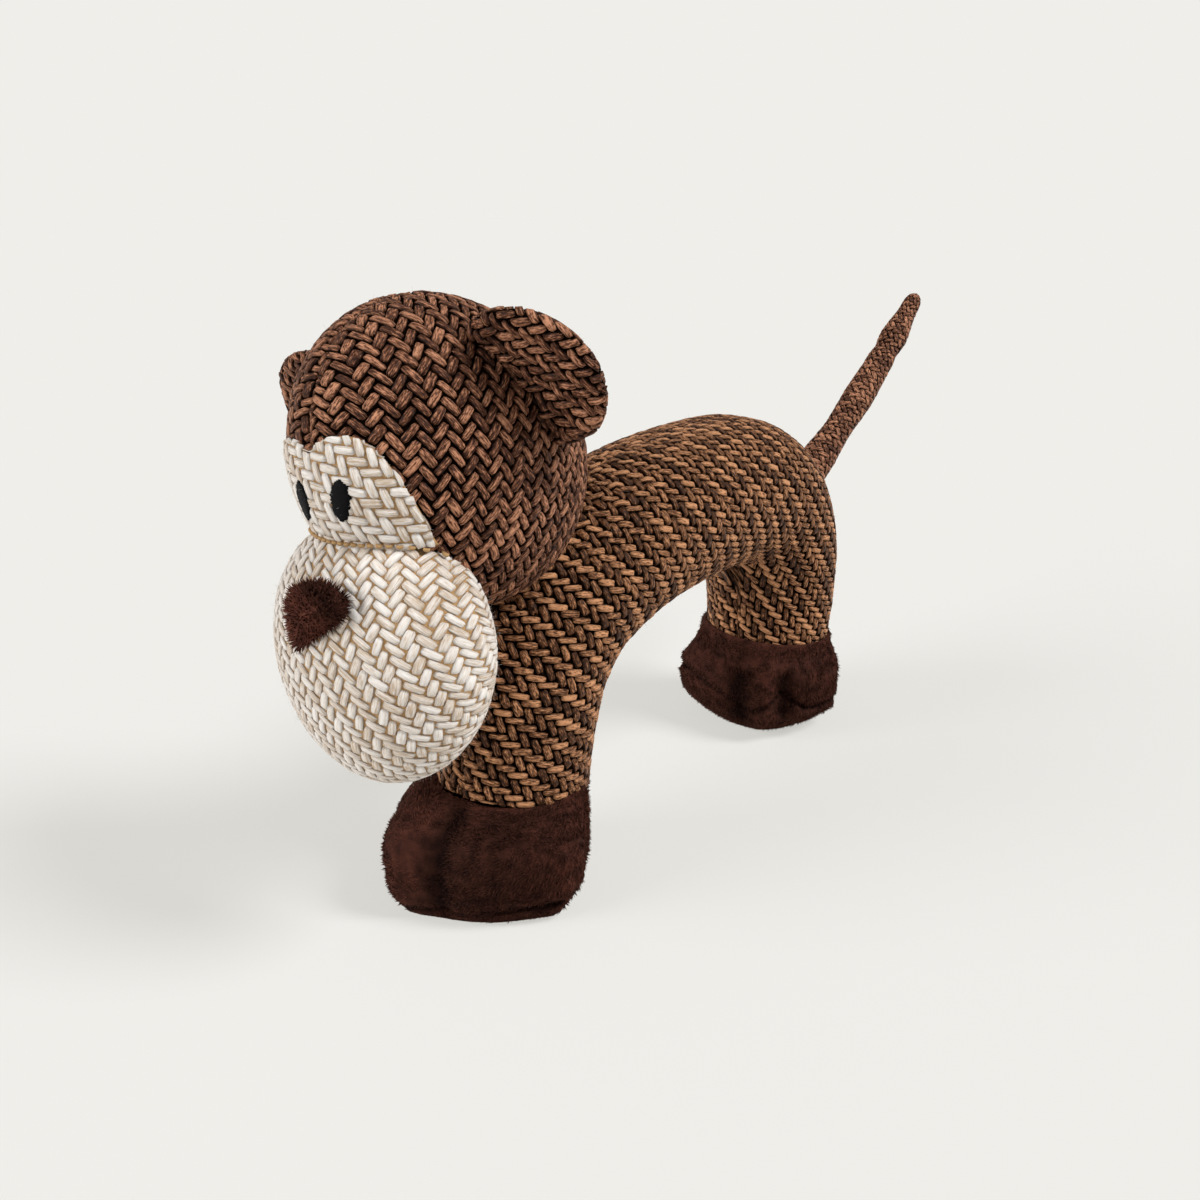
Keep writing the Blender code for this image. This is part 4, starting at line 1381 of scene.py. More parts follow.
@dataclass
class FacePatch:
    """The cream face patch: two lobes with a dip between them, open to the muzzle below."""

    toy: Toy
    corners: int = 12
    rows: int = 26
    columns: int = 121
    proud: float = 0.8 * MM
    middle_drop: float = 0.004
    foot_drop: float = 0.0145
    foot_share: float = 0.92
    top_inset: float = 0.8 * MM
    muzzle_lap: float = 1.2 * MM
    rounds: int = 200
    edge_rows: tuple[float, ...] = (0.5 * MM, 1.2 * MM)
    stitches: int = 22
    search: float = 0.030
    halvings: int = 24
    seam_proud: float = 0.4 * MM
    seam_sink: float = 0.6 * MM
    stitch_proud: float = 0.9 * MM
    stitch: tuple[float, float, float] = (1.5 * MM, 0.7 * MM, 0.5 * MM)

    def outline(self) -> Array:
        """The patch's edge, seen from the front before the tilt, from its lower left corner up and round."""
        sizes = self.toy.sizes
        half, middle = sizes.patch_width / 2, self.toy.head.middle[2]
        top, dip = middle + sizes.patch_rise, middle + sizes.patch_dip
        points = [(half * self.foot_share, middle - self.foot_drop)]
        for i in range(self.corners):
            turn = math.pi * i / self.corners
            foot = dip if i > self.corners / 2 else middle - sizes.patch_rise
            across = half / 2 * (1 + math.cos(turn)) - self.top_inset * math.cos(turn / 2)
            points.append((across, foot + (top - foot) * math.sin(turn)))
        points.append((0.0, dip))
        return np.array(points + [(-x, z) for x, z in reversed(points[:-1])])

    def inside(self, points: Array) -> Array:
        """How far points of the head lie inside the patch's edge, and below zero outside it."""
        flat = self.toy.head.tilted(points, back=True)
        x, z = flat[..., 0], flat[..., 2]
        edge = self.outline()
        nearest = np.full(x.shape, np.inf)
        within = np.zeros(x.shape, bool)
        for (x0, z0), (x1, z1) in zip(edge, np.roll(edge, -1, axis=0)):
            run = np.array([x1 - x0, z1 - z0])
            share = np.clip(((x - x0) * run[0] + (z - z0) * run[1]) / (run @ run), 0, 1)
            nearest = np.minimum(nearest, np.hypot(x - x0 - share * run[0], z - z0 - share * run[1]))
            crossed = (z0 > z) != (z1 > z)
            slope = run[0] / run[1] if run[1] else 0.0
            within ^= crossed & (x < x0 + (z - z0) * slope)
        front = flat[..., 1] < self.toy.head.middle[1]
        return np.where(within & front, nearest, -nearest)

    def surface(self) -> Panel:
        """Shape the patch from its middle to its turned edge."""
        head = self.toy.head
        edge = np.concatenate([self.outline(), self.outline()[:1]])[::-1]
        run = np.concatenate([[0], np.cumsum(np.linalg.norm(np.diff(edge, axis=0), axis=-1))])
        even = np.linspace(0, run[-1], self.columns)
        fine = np.stack([np.interp(even, run, edge[:, axis]) for axis in range(2)], axis=-1)
        middle = np.array([0.0, head.middle[2] - self.middle_drop])
        share = np.linspace(0, 1, self.rows)[:, None, None]
        spots = middle + (fine - middle) * share
        ball = np.zeros(spots.shape[:2] + (3,))
        ball[..., 0] = spots[..., 0] / head.radii[0]
        ball[..., 2] = (spots[..., 1] - head.middle[2]) / head.radii[2]
        ball[..., 1] = -np.sqrt(np.maximum(1 - ball[..., 0] ** 2 - ball[..., 2] ** 2, 0.01))
        place = head.place(ball)
        flat = lay_flat(place, spots - middle, self.rounds, polar=True)
        cover = self.muzzle_lap - self.toy.muzzle.depth(place)
        panel = Panel(place, flat, cover, polar=True)
        panel.place = place + panel.outward() * self.proud
        return panel.tucked(self.edge_rows, "bottom")

    def sew(self, item: bpy.types.Object) -> None:
        """Add the row of stitches that joins the patch to the muzzle to the same mesh."""
        toy = self.toy
        across = np.linspace(-1, 1, self.stitches) * (toy.sizes.patch_width / 2 * self.foot_share)
        high = np.full(self.stitches, toy.head.middle[2])
        low = high - self.search
        for _ in range(self.halvings):
            half = (high + low) / 2
            place, _ = toy.on_face(np.stack([across, half], axis=-1), self.seam_proud)
            sunk = toy.muzzle.depth(place) > -self.seam_sink
            high, low = np.where(sunk, high, half), np.where(sunk, half, low)
        place, out = toy.on_face(np.stack([across, high], axis=-1), self.stitch_proud)
        size = np.tile(self.stitch, (self.stitches, 1))
        way = unit(np.gradient(place, axis=0))
        merge(item, toy.shop.threads("seam_stitches", place, way, out, size, toy.shop.stitch))

    def build(self) -> None:
        """Weave the patch."""
        shop = self.toy.shop
        cloth = Cloth(shop.cream, shop.cream_ground, shop.cream_fuzz, weft=(2.0 * MM, -10.0),
                      warp=(2.0 * MM, 92.0), lean=3.0, sink=0.45 * MM, height=0.5 * MM, loose=CREAM_FUZZ)
        item = cloth.woven(shop, "face_patch_cloth", self.surface(), 31)
        self.sew(item)
        finished(item, ("face_patch",))
        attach(item, "head")


@dataclass
class Muzzle:
    """The big cream muzzle."""

    toy: Toy
    rows: int = 60
    columns: int = 80
    wrap: float = 2.45
    chest_gap: float = 0.7 * MM
    head_lap: float = 1.0 * MM
    rounds: int = 300

    def surface(self, face: int) -> Panel:
        """Shape the muzzle's front panel, or its back one, which is pressed against the chest."""
        toy = self.toy
        wrap = self.wrap if face == 1 else math.pi - self.wrap
        rise, turn = dome(wrap, self.rows if face == 1 else self.rows // 3, self.columns)
        place = toy.muzzle.place(front_ball(rise, turn, face))
        flat = lay_flat(place, fan(lengths(place), turn, face), self.rounds, polar=True)
        cover = self.head_lap - toy.head.depth(place)
        place = toy.arch.cleared(place, self.chest_gap)
        return Panel(place, flat, cover, polar=True).tucked(SEAM_ROWS[:2], "bottom")

    def build(self) -> None:
        """Weave the muzzle."""
        shop = self.toy.shop
        cloth = Cloth(shop.cream, shop.cream_ground, shop.cream_fuzz, weft=(2.2 * MM, -22.0),
                      warp=(1.95 * MM, 67.0), sink=0.45 * MM, height=0.5 * MM, loose=CREAM_FUZZ)
        item = cloth.woven(shop, "muzzle_cloth", self.surface(1), 41)
        merge(item, cloth.woven(shop, "muzzle_back", self.surface(-1), 42))
        finished(item, ("muzzle_cover", "muzzle_stuffing"))
        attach(item, "head")


@dataclass
class Ear:
    """A cupped padded ear, sewn to the side of the head along its base."""

    toy: Toy
    side: Side
    height: float = 0.033
    reach: float = 0.0215
    sink: float = 0.014
    thickness: float = 0.0056
    cup: float = 0.0045
    root_shares: tuple = (0.936, 0.14, 0.426)
    gather: float = 6.5 * MM
    gather_depth: float = 0.7 * MM
    lean: float = 20
    turn: float = 10
    slant: float = 32
    rows: int = 26
    columns: int = 60
    fullness: float = 5.0
    wrap: float = 0.60
    rounds: int = 200
    head_lap: float = 0.6 * MM
    edge_rows: tuple[float, ...] = (0.5 * MM, 1.2 * MM, 2.0 * MM)
    gathered: float = 0.7
    hinge_reach: float = 7 * MM

    def axes(self) -> tuple[Array, Array, Array, Array]:
        """The middle of the sewn base, and the ear's outward, forward and lengthwise directions."""
        side = self.side.value
        across, back, up = self.root_shares
        root = self.toy.head.place(unit(np.array([side * across, back, up])))
        lean, turn = math.radians(self.lean), math.radians(self.turn)
        outward = Vector((side * math.cos(lean) * math.cos(turn), -math.sin(turn),
                          math.sin(lean) * math.cos(turn)))
        above = Vector((0, 0, 1))
        upright = (above - outward * outward.dot(above)).normalized()
        along = Matrix.Rotation(side * math.radians(self.slant), 3, outward) @ upright
        forward = outward.cross(along) * side
        turned = turn_about_y(-self.toy.head.tilt)
        return (root, *(turned @ np.array(way) for way in (outward, forward, along)))

    def surface(self, face: int) -> Panel:
        """Shape the ear's front, which wraps the rim, or its back."""
        root, outward, forward, along = self.axes()
        wrap = self.wrap if face == 1 else 1 - self.wrap
        rise, turn = dome(math.pi * wrap, self.rows, self.columns)
        share = np.sin(rise)
        half = (self.reach + self.sink) / 2
        out = half - self.sink + half * share * np.cos(turn)
        up = self.height / 2 * share * np.sin(turn)
        bend = self.cup * ((out / self.reach) ** 2 + (2 * up / self.height) ** 2) / 2
        puff = self.thickness / 2 * np.sign(np.cos(rise)) * np.sqrt(1 - share**self.fullness) + 0 * turn
        depth = bend + face * puff
        waves = self.gather_depth * np.cos(up * math.tau / self.gather)
        depth += waves * smoothstep(self.reach * self.gathered, 0, out)
        place = root + outward * out[..., None] + along * up[..., None] + forward * depth[..., None]
        spread = lengths(place) / half
        flat = np.stack([face * self.side.value * half * spread * np.cos(turn),
                         self.height / 2 * spread * np.sin(turn)], axis=-1)
        flat = lay_flat(place, flat, self.rounds, polar=True)
        cover = self.head_lap - self.toy.head.depth(place)
        return Panel(place, flat, cover, polar=True).tucked(self.edge_rows, "bottom")

    def build(self) -> None:
        """Weave the front and the back."""
        shop = self.toy.shop
        cloth = Cloth(shop.brown, shop.brown_ground, shop.brown_fuzz, weft=(2.2 * MM, -18.0),
                      warp=(2.2 * MM, 85.0), width=0.80)
        root, outward, _, _ = self.axes()
        for seed, (word, face) in enumerate((("front", 1), ("back", -1))):
            name = f"{self.side.word}_ear_{word}_cloth"
            item = cloth.woven(shop, name, self.surface(face), 50 + seed + self.side.value)
            replaced = (f"{self.side.word}_ear_{word}",)
            if face == 1:
                replaced += (f"{self.side.word}_ear_padding",)
            finished(item, replaced)
            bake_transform(item)


@dataclass
class Tail:
    """The thin stuffed tail, sewn to the rump."""

    toy: Toy
    length: float = 0.094
    diameters: tuple = (0.0110, 0.0082, 0.0082, 0.0096)
    share: float = 0.80
    rise: float = 28
    curl: float = 12
    rows: int = 90
    columns: int = 22
    cap_rows: int = 8
    gap: float = 0.0003
    hinge_reach: float = 12 * MM
    root_sink: float = 3 * MM
    plumpness: float = 1.04
    ripple: float = 0.06
    ripple_rate: float = 190.0
    pinch: float = 0.066
    pinch_depth: float = 0.16
    pinch_width: float = 3.5 * MM
    swell: float = 0.22
    slimming: float = 0.35
    tip_hole: float = 0.04
    body_lap: float = 1.0 * MM

    def root(self) -> Array:
        """The tail's hinge point, just off the rump."""
        middle, outward, radius = self.toy.arch.line(np.array([self.share]))
        return middle[0] + outward[0] * (radius[0] + self.gap + self.diameters[0] / 2)

    def surface(self) -> Panel:
        """Shape the tail as a tube with a round tip, and its root inside the rump."""
        tip = self.diameters[-1] / 2
        length = self.length - tip
        start = -self.diameters[0] / 2 - self.root_sink
        reached = np.linspace(start, length, self.rows)
        radius = through(np.array([[d / 2] for d in self.diameters]), reached / length)[:, 0]
        pinched = self.pinch_depth * bell(reached - self.pinch, self.pinch_width)
        radius *= self.plumpness + self.ripple * np.sin(reached * self.ripple_rate) - pinched
        radius *= 1 + self.swell * bell(reached - length / 2, length / 3)
        radius *= 1 - self.slimming * smoothstep(self.pinch, length, reached)
        cap = np.linspace(0, math.pi / 2, self.cap_rows)[1:]
        along = np.concatenate([reached, length + tip * cap])
        reached = np.concatenate([reached, length + tip * np.sin(cap)])
        radius = np.concatenate([radius, radius[-1] * np.maximum(np.cos(cap), self.tip_hole)])
        between = (reached[1:] + reached[:-1]) / 2
        bend = np.radians(self.rise + self.curl * np.maximum(between, 0) / length)
        steps = np.diff(reached)[:, None] * np.stack([0 * bend, np.cos(bend), np.sin(bend)], axis=-1)
        middle = np.concatenate([np.zeros((1, 3)), np.cumsum(steps, axis=0)])
        zero = np.array([np.interp(0, reached, middle[:, axis]) for axis in range(3)])
        middle += self.root() - zero
        face = np.radians(self.rise + self.curl * np.maximum(reached, 0) / length)
        normal = np.stack([0 * face, -np.sin(face), np.cos(face)], axis=-1)
        turn = np.linspace(0, math.tau, self.columns) + math.pi
        across = np.sin(turn)[None, :, None] * np.array([1.0, 0, 0])
        ring = across + np.cos(turn)[None, :, None] * normal[:, None]
        place = middle[:, None] + radius[:, None, None] * ring
        mean = float(np.mean(self.diameters)) / 2
        spots = np.broadcast_arrays((turn - 2 * math.pi)[None] * mean, along[:, None])
        flat = np.stack(spots, axis=-1)
        flat[..., 1] -= length / 2
        return Panel(place, flat, self.body_lap - self.toy.arch.depth(place))

    def build(self) -> None:
        """Weave the tail."""
        shop = self.toy.shop
        cloth = Cloth(shop.brown, shop.brown_ground, shop.brown_fuzz, weft=(1.9 * MM, 30.0),
                      warp=(1.7 * MM, 125.0), height=0.5 * MM, sink=0.4 * MM, wall=0.5 * MM)
        item = cloth.woven(shop, "tail_cloth", self.surface(), 61)
        finished(item, ("tail_cover", "tail_filling"))
        root = self.root() + SHIFT
        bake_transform(item)


@dataclass
class Foot:
    """A plush foot: an upper sewn to the leg at the ankle, and a sole with a flat tread."""

    toy: Toy
    prefix: str
    width: float = 0.0505
    sole_height: float = 0.0075
    squareness: float = 0.96
    flares: tuple = ((1.0, 0.0), (0.92, 0.38), (0.78, 0.70), (0.58, 0.95), (0.34, 1.0), (0.15, 0.99),
                     (0.0, 0.97))
    spreads: tuple = ((0.50, 0.94), (0.15, 0.86), (0.0, 0.78))
    tread_spreads: tuple = (0.35, 0.02)
    ridges: tuple = ()
    folds: tuple = ()
    rows: int = 64
    columns: int = 96
    pile: Pile = Pile(4.2e6, 1.25 * MM, 0.72, 0.13)
    skin_sink: float = 0.6 * MM
    flatness: float = 0.45
    ridge_lift: float = 0.03
    widest_facet: float = 1.2
    fold_fade: float = 0.004
    seam_marks: tuple = ((0.0, 0.0075),)
    seam_depth: float = 1.3 * MM
    seam_width: float = 1.1 * MM
    ankle_rise: float = 0.0
    ankle_way: float = 0.0
    ankle_swell: float = 1.0 * MM
    flat_drop: float = 0.01
    comb_down: float = 1.0
    comb_wave: float = 0.5
    comb_rates: tuple = (90.0, 420.0)
    clumping: float = 0.30
    tread_lift: float = 1.1
    # How strong the painted shade is on facets, folds and seam; below zero the shading is painted light.
    facet_shade: float = 1.8
    fold_shade: float = 0.26 / MM
    seam_shade: float = 0.80
    dim_span: tuple = (-1.0, 0.8)

    def leg(self) -> tuple[float, float]:
        """The y and the radius of the leg at its ankle."""
        row = self.toy.arch.table()[0 if self.prefix == "front" else -1]
        return float(row[0]), float(row[2])

    def profile(self) -> Array:
        """Rows of height, flare and reach from the ankle down to the tread's middle."""
        arch = self.toy.arch
        leg = self.leg()[1]
        rows = [(self.sole_height + (arch.ankle_height - self.sole_height) * share, flare,
                 self.width / 2 * flare + leg * (1 - flare)) for share, flare in self.flares]
        rows += [(self.sole_height * share, 1.0, self.width / 2 * spread) for share, spread in self.spreads]
        rows += [(0.0, 1.0, self.width / 2 * spread) for spread in self.tread_spreads]
        return np.array(rows)

    def facet(self, turn: Array) -> Array:
        """How far the foot is drawn in between its ridges, as a share of its reach."""
        if not self.ridges:
            return np.zeros_like(turn)
        marks = np.radians(np.array(self.ridges + (self.ridges[0] + 360,)))
        around = marks[0] + (turn - marks[0]) % math.tau
        drawn = np.zeros_like(turn)
        for low, high in zip(marks[:-1], marks[1:]):
            off = np.clip(around - (high + low) / 2, -self.widest_facet, self.widest_facet)
            chord = np.cos((high - low) / 2) / np.cos(off)
            within = (around >= low) & (around <= high)
            drawn = np.where(within, (1 - chord) * self.flatness, drawn)
        return drawn

    def surface(self) -> tuple[Panel, Array]:
        """Shape the foot's skin as rings round it, with its ridges, folds and sole seam.

        Returns:
            The skin, and how dim each of its points is: painted shade on facets, valleys and seam, and
            painted light where below zero.
        """
        leg_y, _ = self.leg()
        middle_y = 0.0 if self.prefix == "front" else self.toy.arch.stance
        rows = through(self.profile(), np.linspace(0, 1, self.rows))
        height, flare, reach = (rows[:, k][:, None] for k in range(3))
        turn = np.linspace(0, math.tau, self.columns)[None]
        firm = smoothstep(0.0, 0.5, flare) * smoothstep(0.25, 0.8, reach / (self.width / 2))
        drawn = (self.facet(turn) - self.ridge_lift) * firm
        # Painted shade on the facets drawn in between the ridges.
        dim = drawn * self.facet_shade
        for azimuth, depth, spread, low, high in self.folds:
            off = (turn - math.radians(azimuth) + math.pi) % math.tau - math.pi
            above = smoothstep(high, high + self.fold_fade, height)
            upright = smoothstep(low - self.fold_fade, low, height) * (1 - above)
            fold = bell(off, math.radians(spread)) * upright
            drawn = drawn + fold * depth / (self.width / 2)
            # Painted shade in the folds' valleys, and painted light on bulges, whose depth is below zero.
            dim = dim + fold * depth * self.fold_shade
        marks, heights = zip(*self.seam_marks)
        seam_height = np.interp(np.degrees(turn), marks, heights, period=360)
        seam = bell(height - seam_height, self.seam_width) * smoothstep(0.5, 0.9, flare)
        radial = reach * (1 - drawn) - self.seam_depth * seam - self.skin_sink
        # Painted shade along the sole seam's groove.
        dim = np.maximum(dim, seam * self.seam_shade)
        power = self.squareness * flare + (1 - flare)
        wide, long = (np.sign(way) * np.abs(way) ** power for way in (np.sin(turn), np.cos(turn)))
        centre = middle_y * flare + leg_y * (1 - flare)
        rise = self.ankle_rise * (1.5 + np.cos(turn - math.radians(self.ankle_way))) / 2.5
        near_leg = smoothstep(0.5, 1.0, 1 - flare)
        lift = np.maximum(height, self.skin_sink) + rise * near_leg
        radial = radial + self.ankle_swell * near_leg * (self.ankle_rise > 0)
        place = np.stack([radial * wide, centre - radial * long, lift], axis=-1)
        flat = np.stack([(turn - math.pi) * self.width / 2 + 0 * height,
                         height - self.flat_drop + 0 * turn], axis=-1)
        return Panel(place, flat, np.ones(place.shape[:2])), np.clip(dim, *self.dim_span)

    def combed(self, mesh: bpy.types.Mesh) -> None:
        """Store which way the pile is combed: down, with a slow wander round the foot, level at the floor."""
        spots = points_of(mesh)
        rates = np.array([self.comb_rates[0], 0.0, self.comb_rates[1]])
        wave = np.sin(spots @ rates)[:, None] * self.comb_wave
        middle = np.array([0, 0.0 if self.prefix == "front" else self.toy.arch.stance, 0]) + SHIFT
        around = unit(np.cross(spots - middle, np.array([0, 0, 1.0])))
        level = 1 - self.comb_down
        down = np.array([0, 0, -1.0]) * (self.comb_down + level * wave)
        clump = np.random.default_rng(70).normal(size=spots.shape) * self.clumping
        comb = unit(around * (level + wave) + down + clump)
        comb[:, 2] += self.tread_lift * (1 - smoothstep(0.5 * MM, 3.0 * MM, spots[:, 2]))
        keep(mesh, "comb", unit(comb))

    def build(self) -> None:
        """Grow the pile on the skin."""
        shop = self.toy.shop
        name = f"{self.prefix}_foot_plush"
        panel, dim = self.surface()
        # The foot's painted shade and painted light go to the pile's material as an attribute.
        mesh = panel.mesh(name, 0.0, -1.0, pressed=dim)
        mesh.materials.append(shop.paint(shop.plush))
        self.combed(mesh)
        item = self.pile.grow(shop, linked(name, mesh), shop.hair, shop.plush, 71)
        nodes = tuple(f"{self.prefix}_foot_{part}" for part in ("upper", "sole", "stuffing"))
        finished(item, nodes)
        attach(item, "torso")


@dataclass
class Nose:
    """The plush nose: a padded triangle with round corners and its point down."""

    toy: Toy
    rows: int = 20
    columns: int = 40
    pile: Pile = Pile(4.5e6, 1.4 * MM, 0.5, 0.35)
    wrap: float = 0.62
    inset: float = 0.5 * MM
    slant: float = 0.42
    rim: tuple[float, float] = (0.45, 0.95)
    # Strength of the painted shade on the rim and of the painted light over the whole nose.
    rim_shade: float = 0.62
    glow: float = 0.12
    comb_forward: float = 0.2

    def build(self) -> None:
        """Shape the nose's skin and grow its pile."""
        toy, sizes, shop = self.toy, self.toy.sizes, self.toy.shop
        muzzle = toy.muzzle
        forward = muzzle.radii[1] * math.sqrt(1 - (sizes.nose_rise / muzzle.radii[2]) ** 2)
        middle = np.array(muzzle.middle) + np.array([0, -forward, sizes.nose_rise])
        ball = front_ball(*dome(math.pi * self.wrap, self.rows, self.columns))
        point = sizes.nose_point
        ball[..., 0] *= (1 + point + (1 - point) * np.sin(ball[..., 2] * math.pi / 2)) / 2
        ball[..., 0] += self.slant * ball[..., 2]
        radii = np.array([sizes.nose_width, sizes.nose_depth, sizes.nose_height]) / 2 - self.inset
        place = middle + ball * radii
        panel = Panel(place, place[..., [0, 2]] - middle[[0, 2]], np.ones(place.shape[:2]), polar=True)
        mesh = panel.mesh("nose_plush", 0.0, -1.0)
        mesh.materials.append(shop.paint(shop.nose))
        comb = points_of(mesh) - middle - SHIFT
        edge = np.linalg.norm(comb[:, [0, 2]] / radii[[0, 2]], axis=-1)
        # Painted shade round the nose's rim, and painted light lifting it all over.
        keep(mesh, "pressed", self.rim_shade * smoothstep(*self.rim, edge) - self.glow)
        keep(mesh, "comb", unit(comb * np.array([1.0, self.comb_forward, 1.0])))
        item = self.pile.grow(shop, linked("nose_plush", mesh), shop.hair, shop.nose, 81)
        finished(item, ("nose",))
        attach(item, "head")


@dataclass
class Eye:
    """A satin stitched eye: level threads laid close together in an upright oval on a low pad."""

    toy: Toy
    side: Side
    threads: int = 27
    last_thread: float = 0.985
    overhang: float = 0.1 * MM
    raggedness: float = 0.22 * MM
    thread_width: float = 1.5
    thread_height: float = 0.3 * MM
    pad: float = 0.55 * MM
    pad_share: float = 0.93
    pad_rows: int = 7
    pad_columns: int = 33
    proud: float = 0.75 * MM
    lean: float = -19.0

    def upright(self, spots: Array) -> Array:
        """Turn places about the eye's middle so that the eye looks upright on the tilted, sloping face."""
        turn = math.radians(self.lean)
        return spots @ np.array([[math.cos(turn), math.sin(turn)], [-math.sin(turn), math.cos(turn)]])

    def build(self) -> None:
        """Lay the threads over the pad."""
        toy, sizes, side = self.toy, self.toy.sizes, self.side.value
        rng = np.random.default_rng(90 + side)
        middle = np.array([side * sizes.eye_spacing / 2, toy.head.middle[2] - sizes.eye_drop])
        half = np.array([sizes.eye_width, sizes.eye_height]) / 2
        rise = np.linspace(-self.last_thread, self.last_thread, self.threads)
        reach = half[0] * np.sqrt(1 - rise**2)
        ragged = rng.uniform(-1, 1, (self.threads, 2)) * self.raggedness
        left, right = ragged[:, 0] - reach - self.overhang, ragged[:, 1] + reach + self.overhang
        spots = middle + self.upright(np.stack([(left + right) / 2, rise * half[1]], axis=-1))
        place, out = toy.on_face(spots, self.proud)
        beside, _ = toy.on_face(spots + self.upright(np.array([0.1 * MM, 0.0])), self.proud)
        width = 2 * half[1] / self.threads * self.thread_width
        size = np.stack(np.broadcast_arrays(right - left, width, self.thread_height), axis=-1)
        item = toy.shop.threads(f"{self.side.word}_eye_thread", place, unit(beside - place), out, size,
                                toy.shop.eye)
        merge(item, self.underlay(middle, half * self.pad_share))
        finished(item, (f"{self.side.word}_eye",))
        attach(item, "head")

    def underlay(self, middle: Array, half: Array) -> bpy.types.Object:
        """Make the low pad under the threads, about a middle and out to its half width and half height."""
        share, turn = dome(1.0, self.pad_rows, self.pad_columns)
        oval = np.stack([half[0] * share * np.cos(turn), half[1] * share * np.sin(turn)], axis=-1)
        spots = middle + self.upright(oval)
        top, _ = self.toy.on_face(spots, self.pad)
        base, _ = self.toy.on_face(spots[::-1], 0.0)
        place = np.concatenate([top, base])
        flat = np.concatenate([spots, 2 * spots[-1:] - spots[::-1]])
        panel = Panel(place, flat, np.ones(place.shape[:2]), polar=True)
        pad = linked("eye_pad", panel.mesh("eye_pad", 0.0, -1.0))
        pad.data.materials.append(self.toy.shop.paint(self.toy.shop.eye))
        return pad


@dataclass(frozen=True)
class Lamp:
    """A broad far lamp: the way to it, its strength and its breadth in degrees."""

    name: str
    way: tuple[float, float, float]
    strength: float
    breadth: float

    def light(self) -> float:
        """How much of its light the floor gives back in each direction."""
        return self.strength * Vector(self.way).normalized().z / math.pi

    def hang(self) -> None:
        """Hang the lamp, which lights the floor evenly."""
        data = bpy.data.lights.new(self.name, "SUN")
        data.energy = self.strength
        data.angle = math.radians(self.breadth)
        linked(self.name, data).rotation_euler = Vector(self.way).to_track_quat("Z", "Y").to_euler()


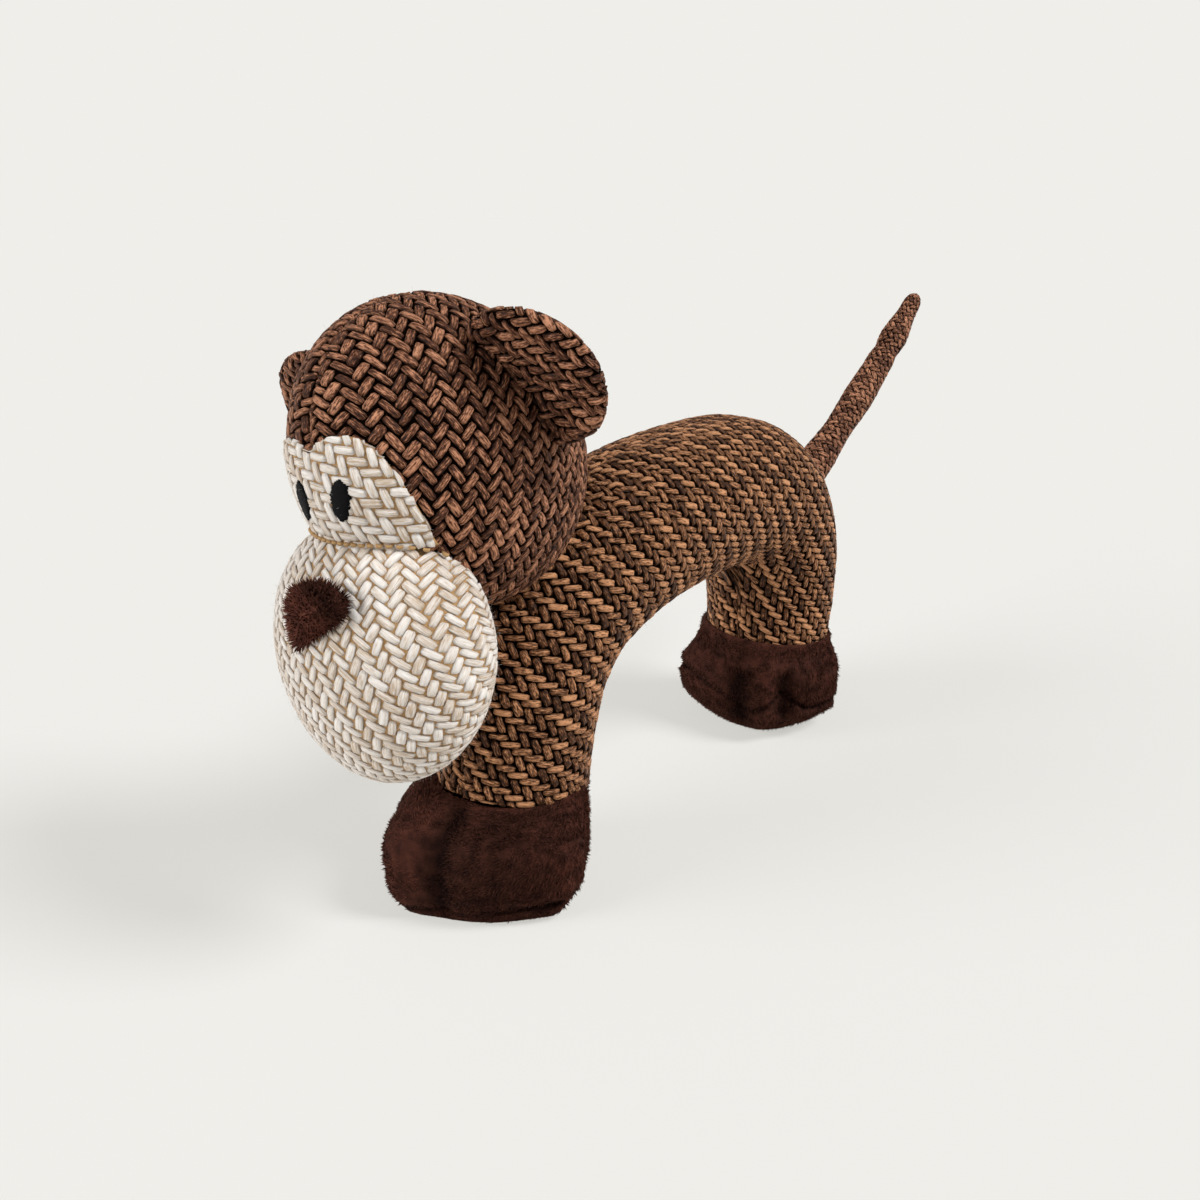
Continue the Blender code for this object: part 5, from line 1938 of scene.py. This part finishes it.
@dataclass
class Stage:
    """The pale floor and backdrop, the lamps and the camera."""

    floor_reach: float = 6.0
    floor_colour: Colour = (0.80, 0.79, 0.76)
    backdrop: Colour = (0.865, 0.855, 0.82)
    shadow: float = 0.25
    fill: float = 0.27
    lamps: tuple[Lamp, ...] = (Lamp("key", (0.72, 0.30, 0.80), 2.95, 22.0),
                               Lamp("front", (-0.45, -0.85, 0.48), 2.2, 35.0))
    camera_offset: tuple[float, float, float] = (0.1745, -0.1801, 0.1645)
    azimuth: float = 37.9
    elevation: float = 19.5
    lens: float = 34.5
    sensor: float = 36.0

    def floor(self) -> None:
        """Lay a pale floor that fades into the backdrop."""
        mesh = bpy.data.meshes.new("floor")
        x = y = self.floor_reach
        mesh.from_pydata([(-x, -y, 0), (x, -y, 0), (x, y, 0), (-x, y, 0)], [], [(0, 1, 2, 3)])
        paint = Paint("pale_floor")
        ray = paint.tree.nodes.new("ShaderNodeLightPath").outputs
        seen = paint.math("MAXIMUM", ray["Is Camera Ray"], ray["Is Glossy Ray"])
        seen = paint.math("MAXIMUM", seen, ray["Is Transmission Ray"])
        made = paint.done(Base_Color=(*self.floor_colour, 1), Roughness=1.0, Specular_IOR_Level=0.0)
        plain = paint.add("ShaderNodeBsdfDiffuse", {"Color": (self.shadow,) * 3 + (1,)})[0]
        open_light = self.fill + sum(lamp.light() for lamp in self.lamps)
        glow = tuple(level - self.shadow * open_light for level in self.backdrop)
        glow = paint.add("ShaderNodeEmission", {"Color": (*glow, 1), "Strength": 1.0})[0]
        shown = paint.placed("ShaderNodeAddShader", plain, glow)
        mixed = paint.placed("ShaderNodeMixShader", seen, paint.shader.outputs[0], shown)
        paint.fill(paint.tree.nodes["Material Output"].inputs[0], mixed)
        mesh.materials.append(made)
        linked("floor", mesh)

    def world(self) -> None:
        """Light the toy softly from all round, in front of a pale backdrop."""
        world = bpy.data.worlds.new("studio")
        world.use_nodes = True
        nodes = Nodes(world.node_tree)
        fill = nodes.placed("ShaderNodeBackground", (1.0, 1.0, 1.0, 1), self.fill)
        seen = nodes.placed("ShaderNodeBackground", (*self.backdrop, 1), 1.0)
        ray = nodes.tree.nodes.new("ShaderNodeLightPath").outputs["Is Camera Ray"]
        mixed = nodes.placed("ShaderNodeMixShader", ray, fill, seen)
        nodes.fill(nodes.tree.nodes["World Output"].inputs[0], mixed)
        bpy.context.scene.world = world

    def camera(self) -> None:
        """Stand the camera where the photograph was taken from."""
        data = bpy.data.cameras.new("camera")
        data.lens = self.lens
        data.sensor_width = self.sensor
        data.clip_start = 0.01
        item = linked("camera", data)
        a, e = math.radians(self.azimuth), math.radians(self.elevation)
        back = Vector((math.sin(a) * math.cos(e), -math.cos(a) * math.cos(e), math.sin(e)))
        item.location = Vector(SHIFT) + Vector(self.camera_offset)
        item.rotation_euler = back.to_track_quat("Z", "Y").to_euler()
        bpy.context.scene.camera = item

    def build(self) -> None:
        """Set up the stage."""
        self.camera()
        self.floor()
        self.world()
        for lamp in self.lamps:
            lamp.hang()
        bpy.context.scene.view_settings.view_transform = "Standard"


def main() -> None:
    """Build the stage and dress every piece of the toy."""
    logging.basicConfig(level=logging.INFO, format="%(name)s %(message)s")
    Stage().build()
    toy = Toy()
    Body(toy).build()
    Head(toy).build()
    FacePatch(toy).build()
    Muzzle(toy).build()
    Ear(toy, Side.LEFT).build()
    Ear(toy, Side.RIGHT, height=0.0385, reach=0.0205, root_shares=(0.957, 0.03, 0.26)).build()
    Tail(toy).build()
    Foot(toy, "front", ridges=(-14.0, 88.0, 150.0, 215.0, 285.0), comb_down=0.25, flatness=0.62,
         folds=((5.0, 2.5 * MM, 8.0, 0.004, 0.026), (103.0, -1.2 * MM, 9.0, 0.006, 0.024),
                (-28.0, -2.6 * MM, 17.0, 0.003, 0.026)),
         seam_marks=((0.0, 0.003), (180.0, 0.0075))).build()
    Foot(toy, "rear", ridges=(-56.0, 32.0, 100.0, 170.0, 235.0), flatness=0.40, comb_down=0.6,
         flares=((1.0, 0.0), (0.92, 0.34), (0.78, 0.70), (0.58, 0.97), (0.34, 1.0), (0.15, 0.97),
                 (0.0, 0.91)),
         spreads=((0.50, 0.79), (0.15, 0.67), (0.0, 0.58)),
         folds=((12.0, 3.2 * MM, 10.0, 0.006, 0.0205), (48.0, 2.6 * MM, 8.0, 0.010, 0.0205),
                (-60.0, -1.2 * MM, 14.0, 0.0110, 0.0190), (31.0, -0.8 * MM, 8.0, 0.010, 0.022)),
         seam_marks=((-61.0, 0.0175), (-12.0, 0.0150), (18.0, 0.0092), (35.0, 0.0130), (46.0, 0.0165),
                     (70.0, 0.0100), (120.0, 0.0090), (240.0, 0.0090)), seam_depth=1.4 * MM,
         ankle_rise=4.5 * MM, ankle_way=-50.0).build()
    Nose(toy).build()
    for side in Side:
        Eye(toy, side).build()
    toy.shop.close()


if __name__ == "__main__":
    main()
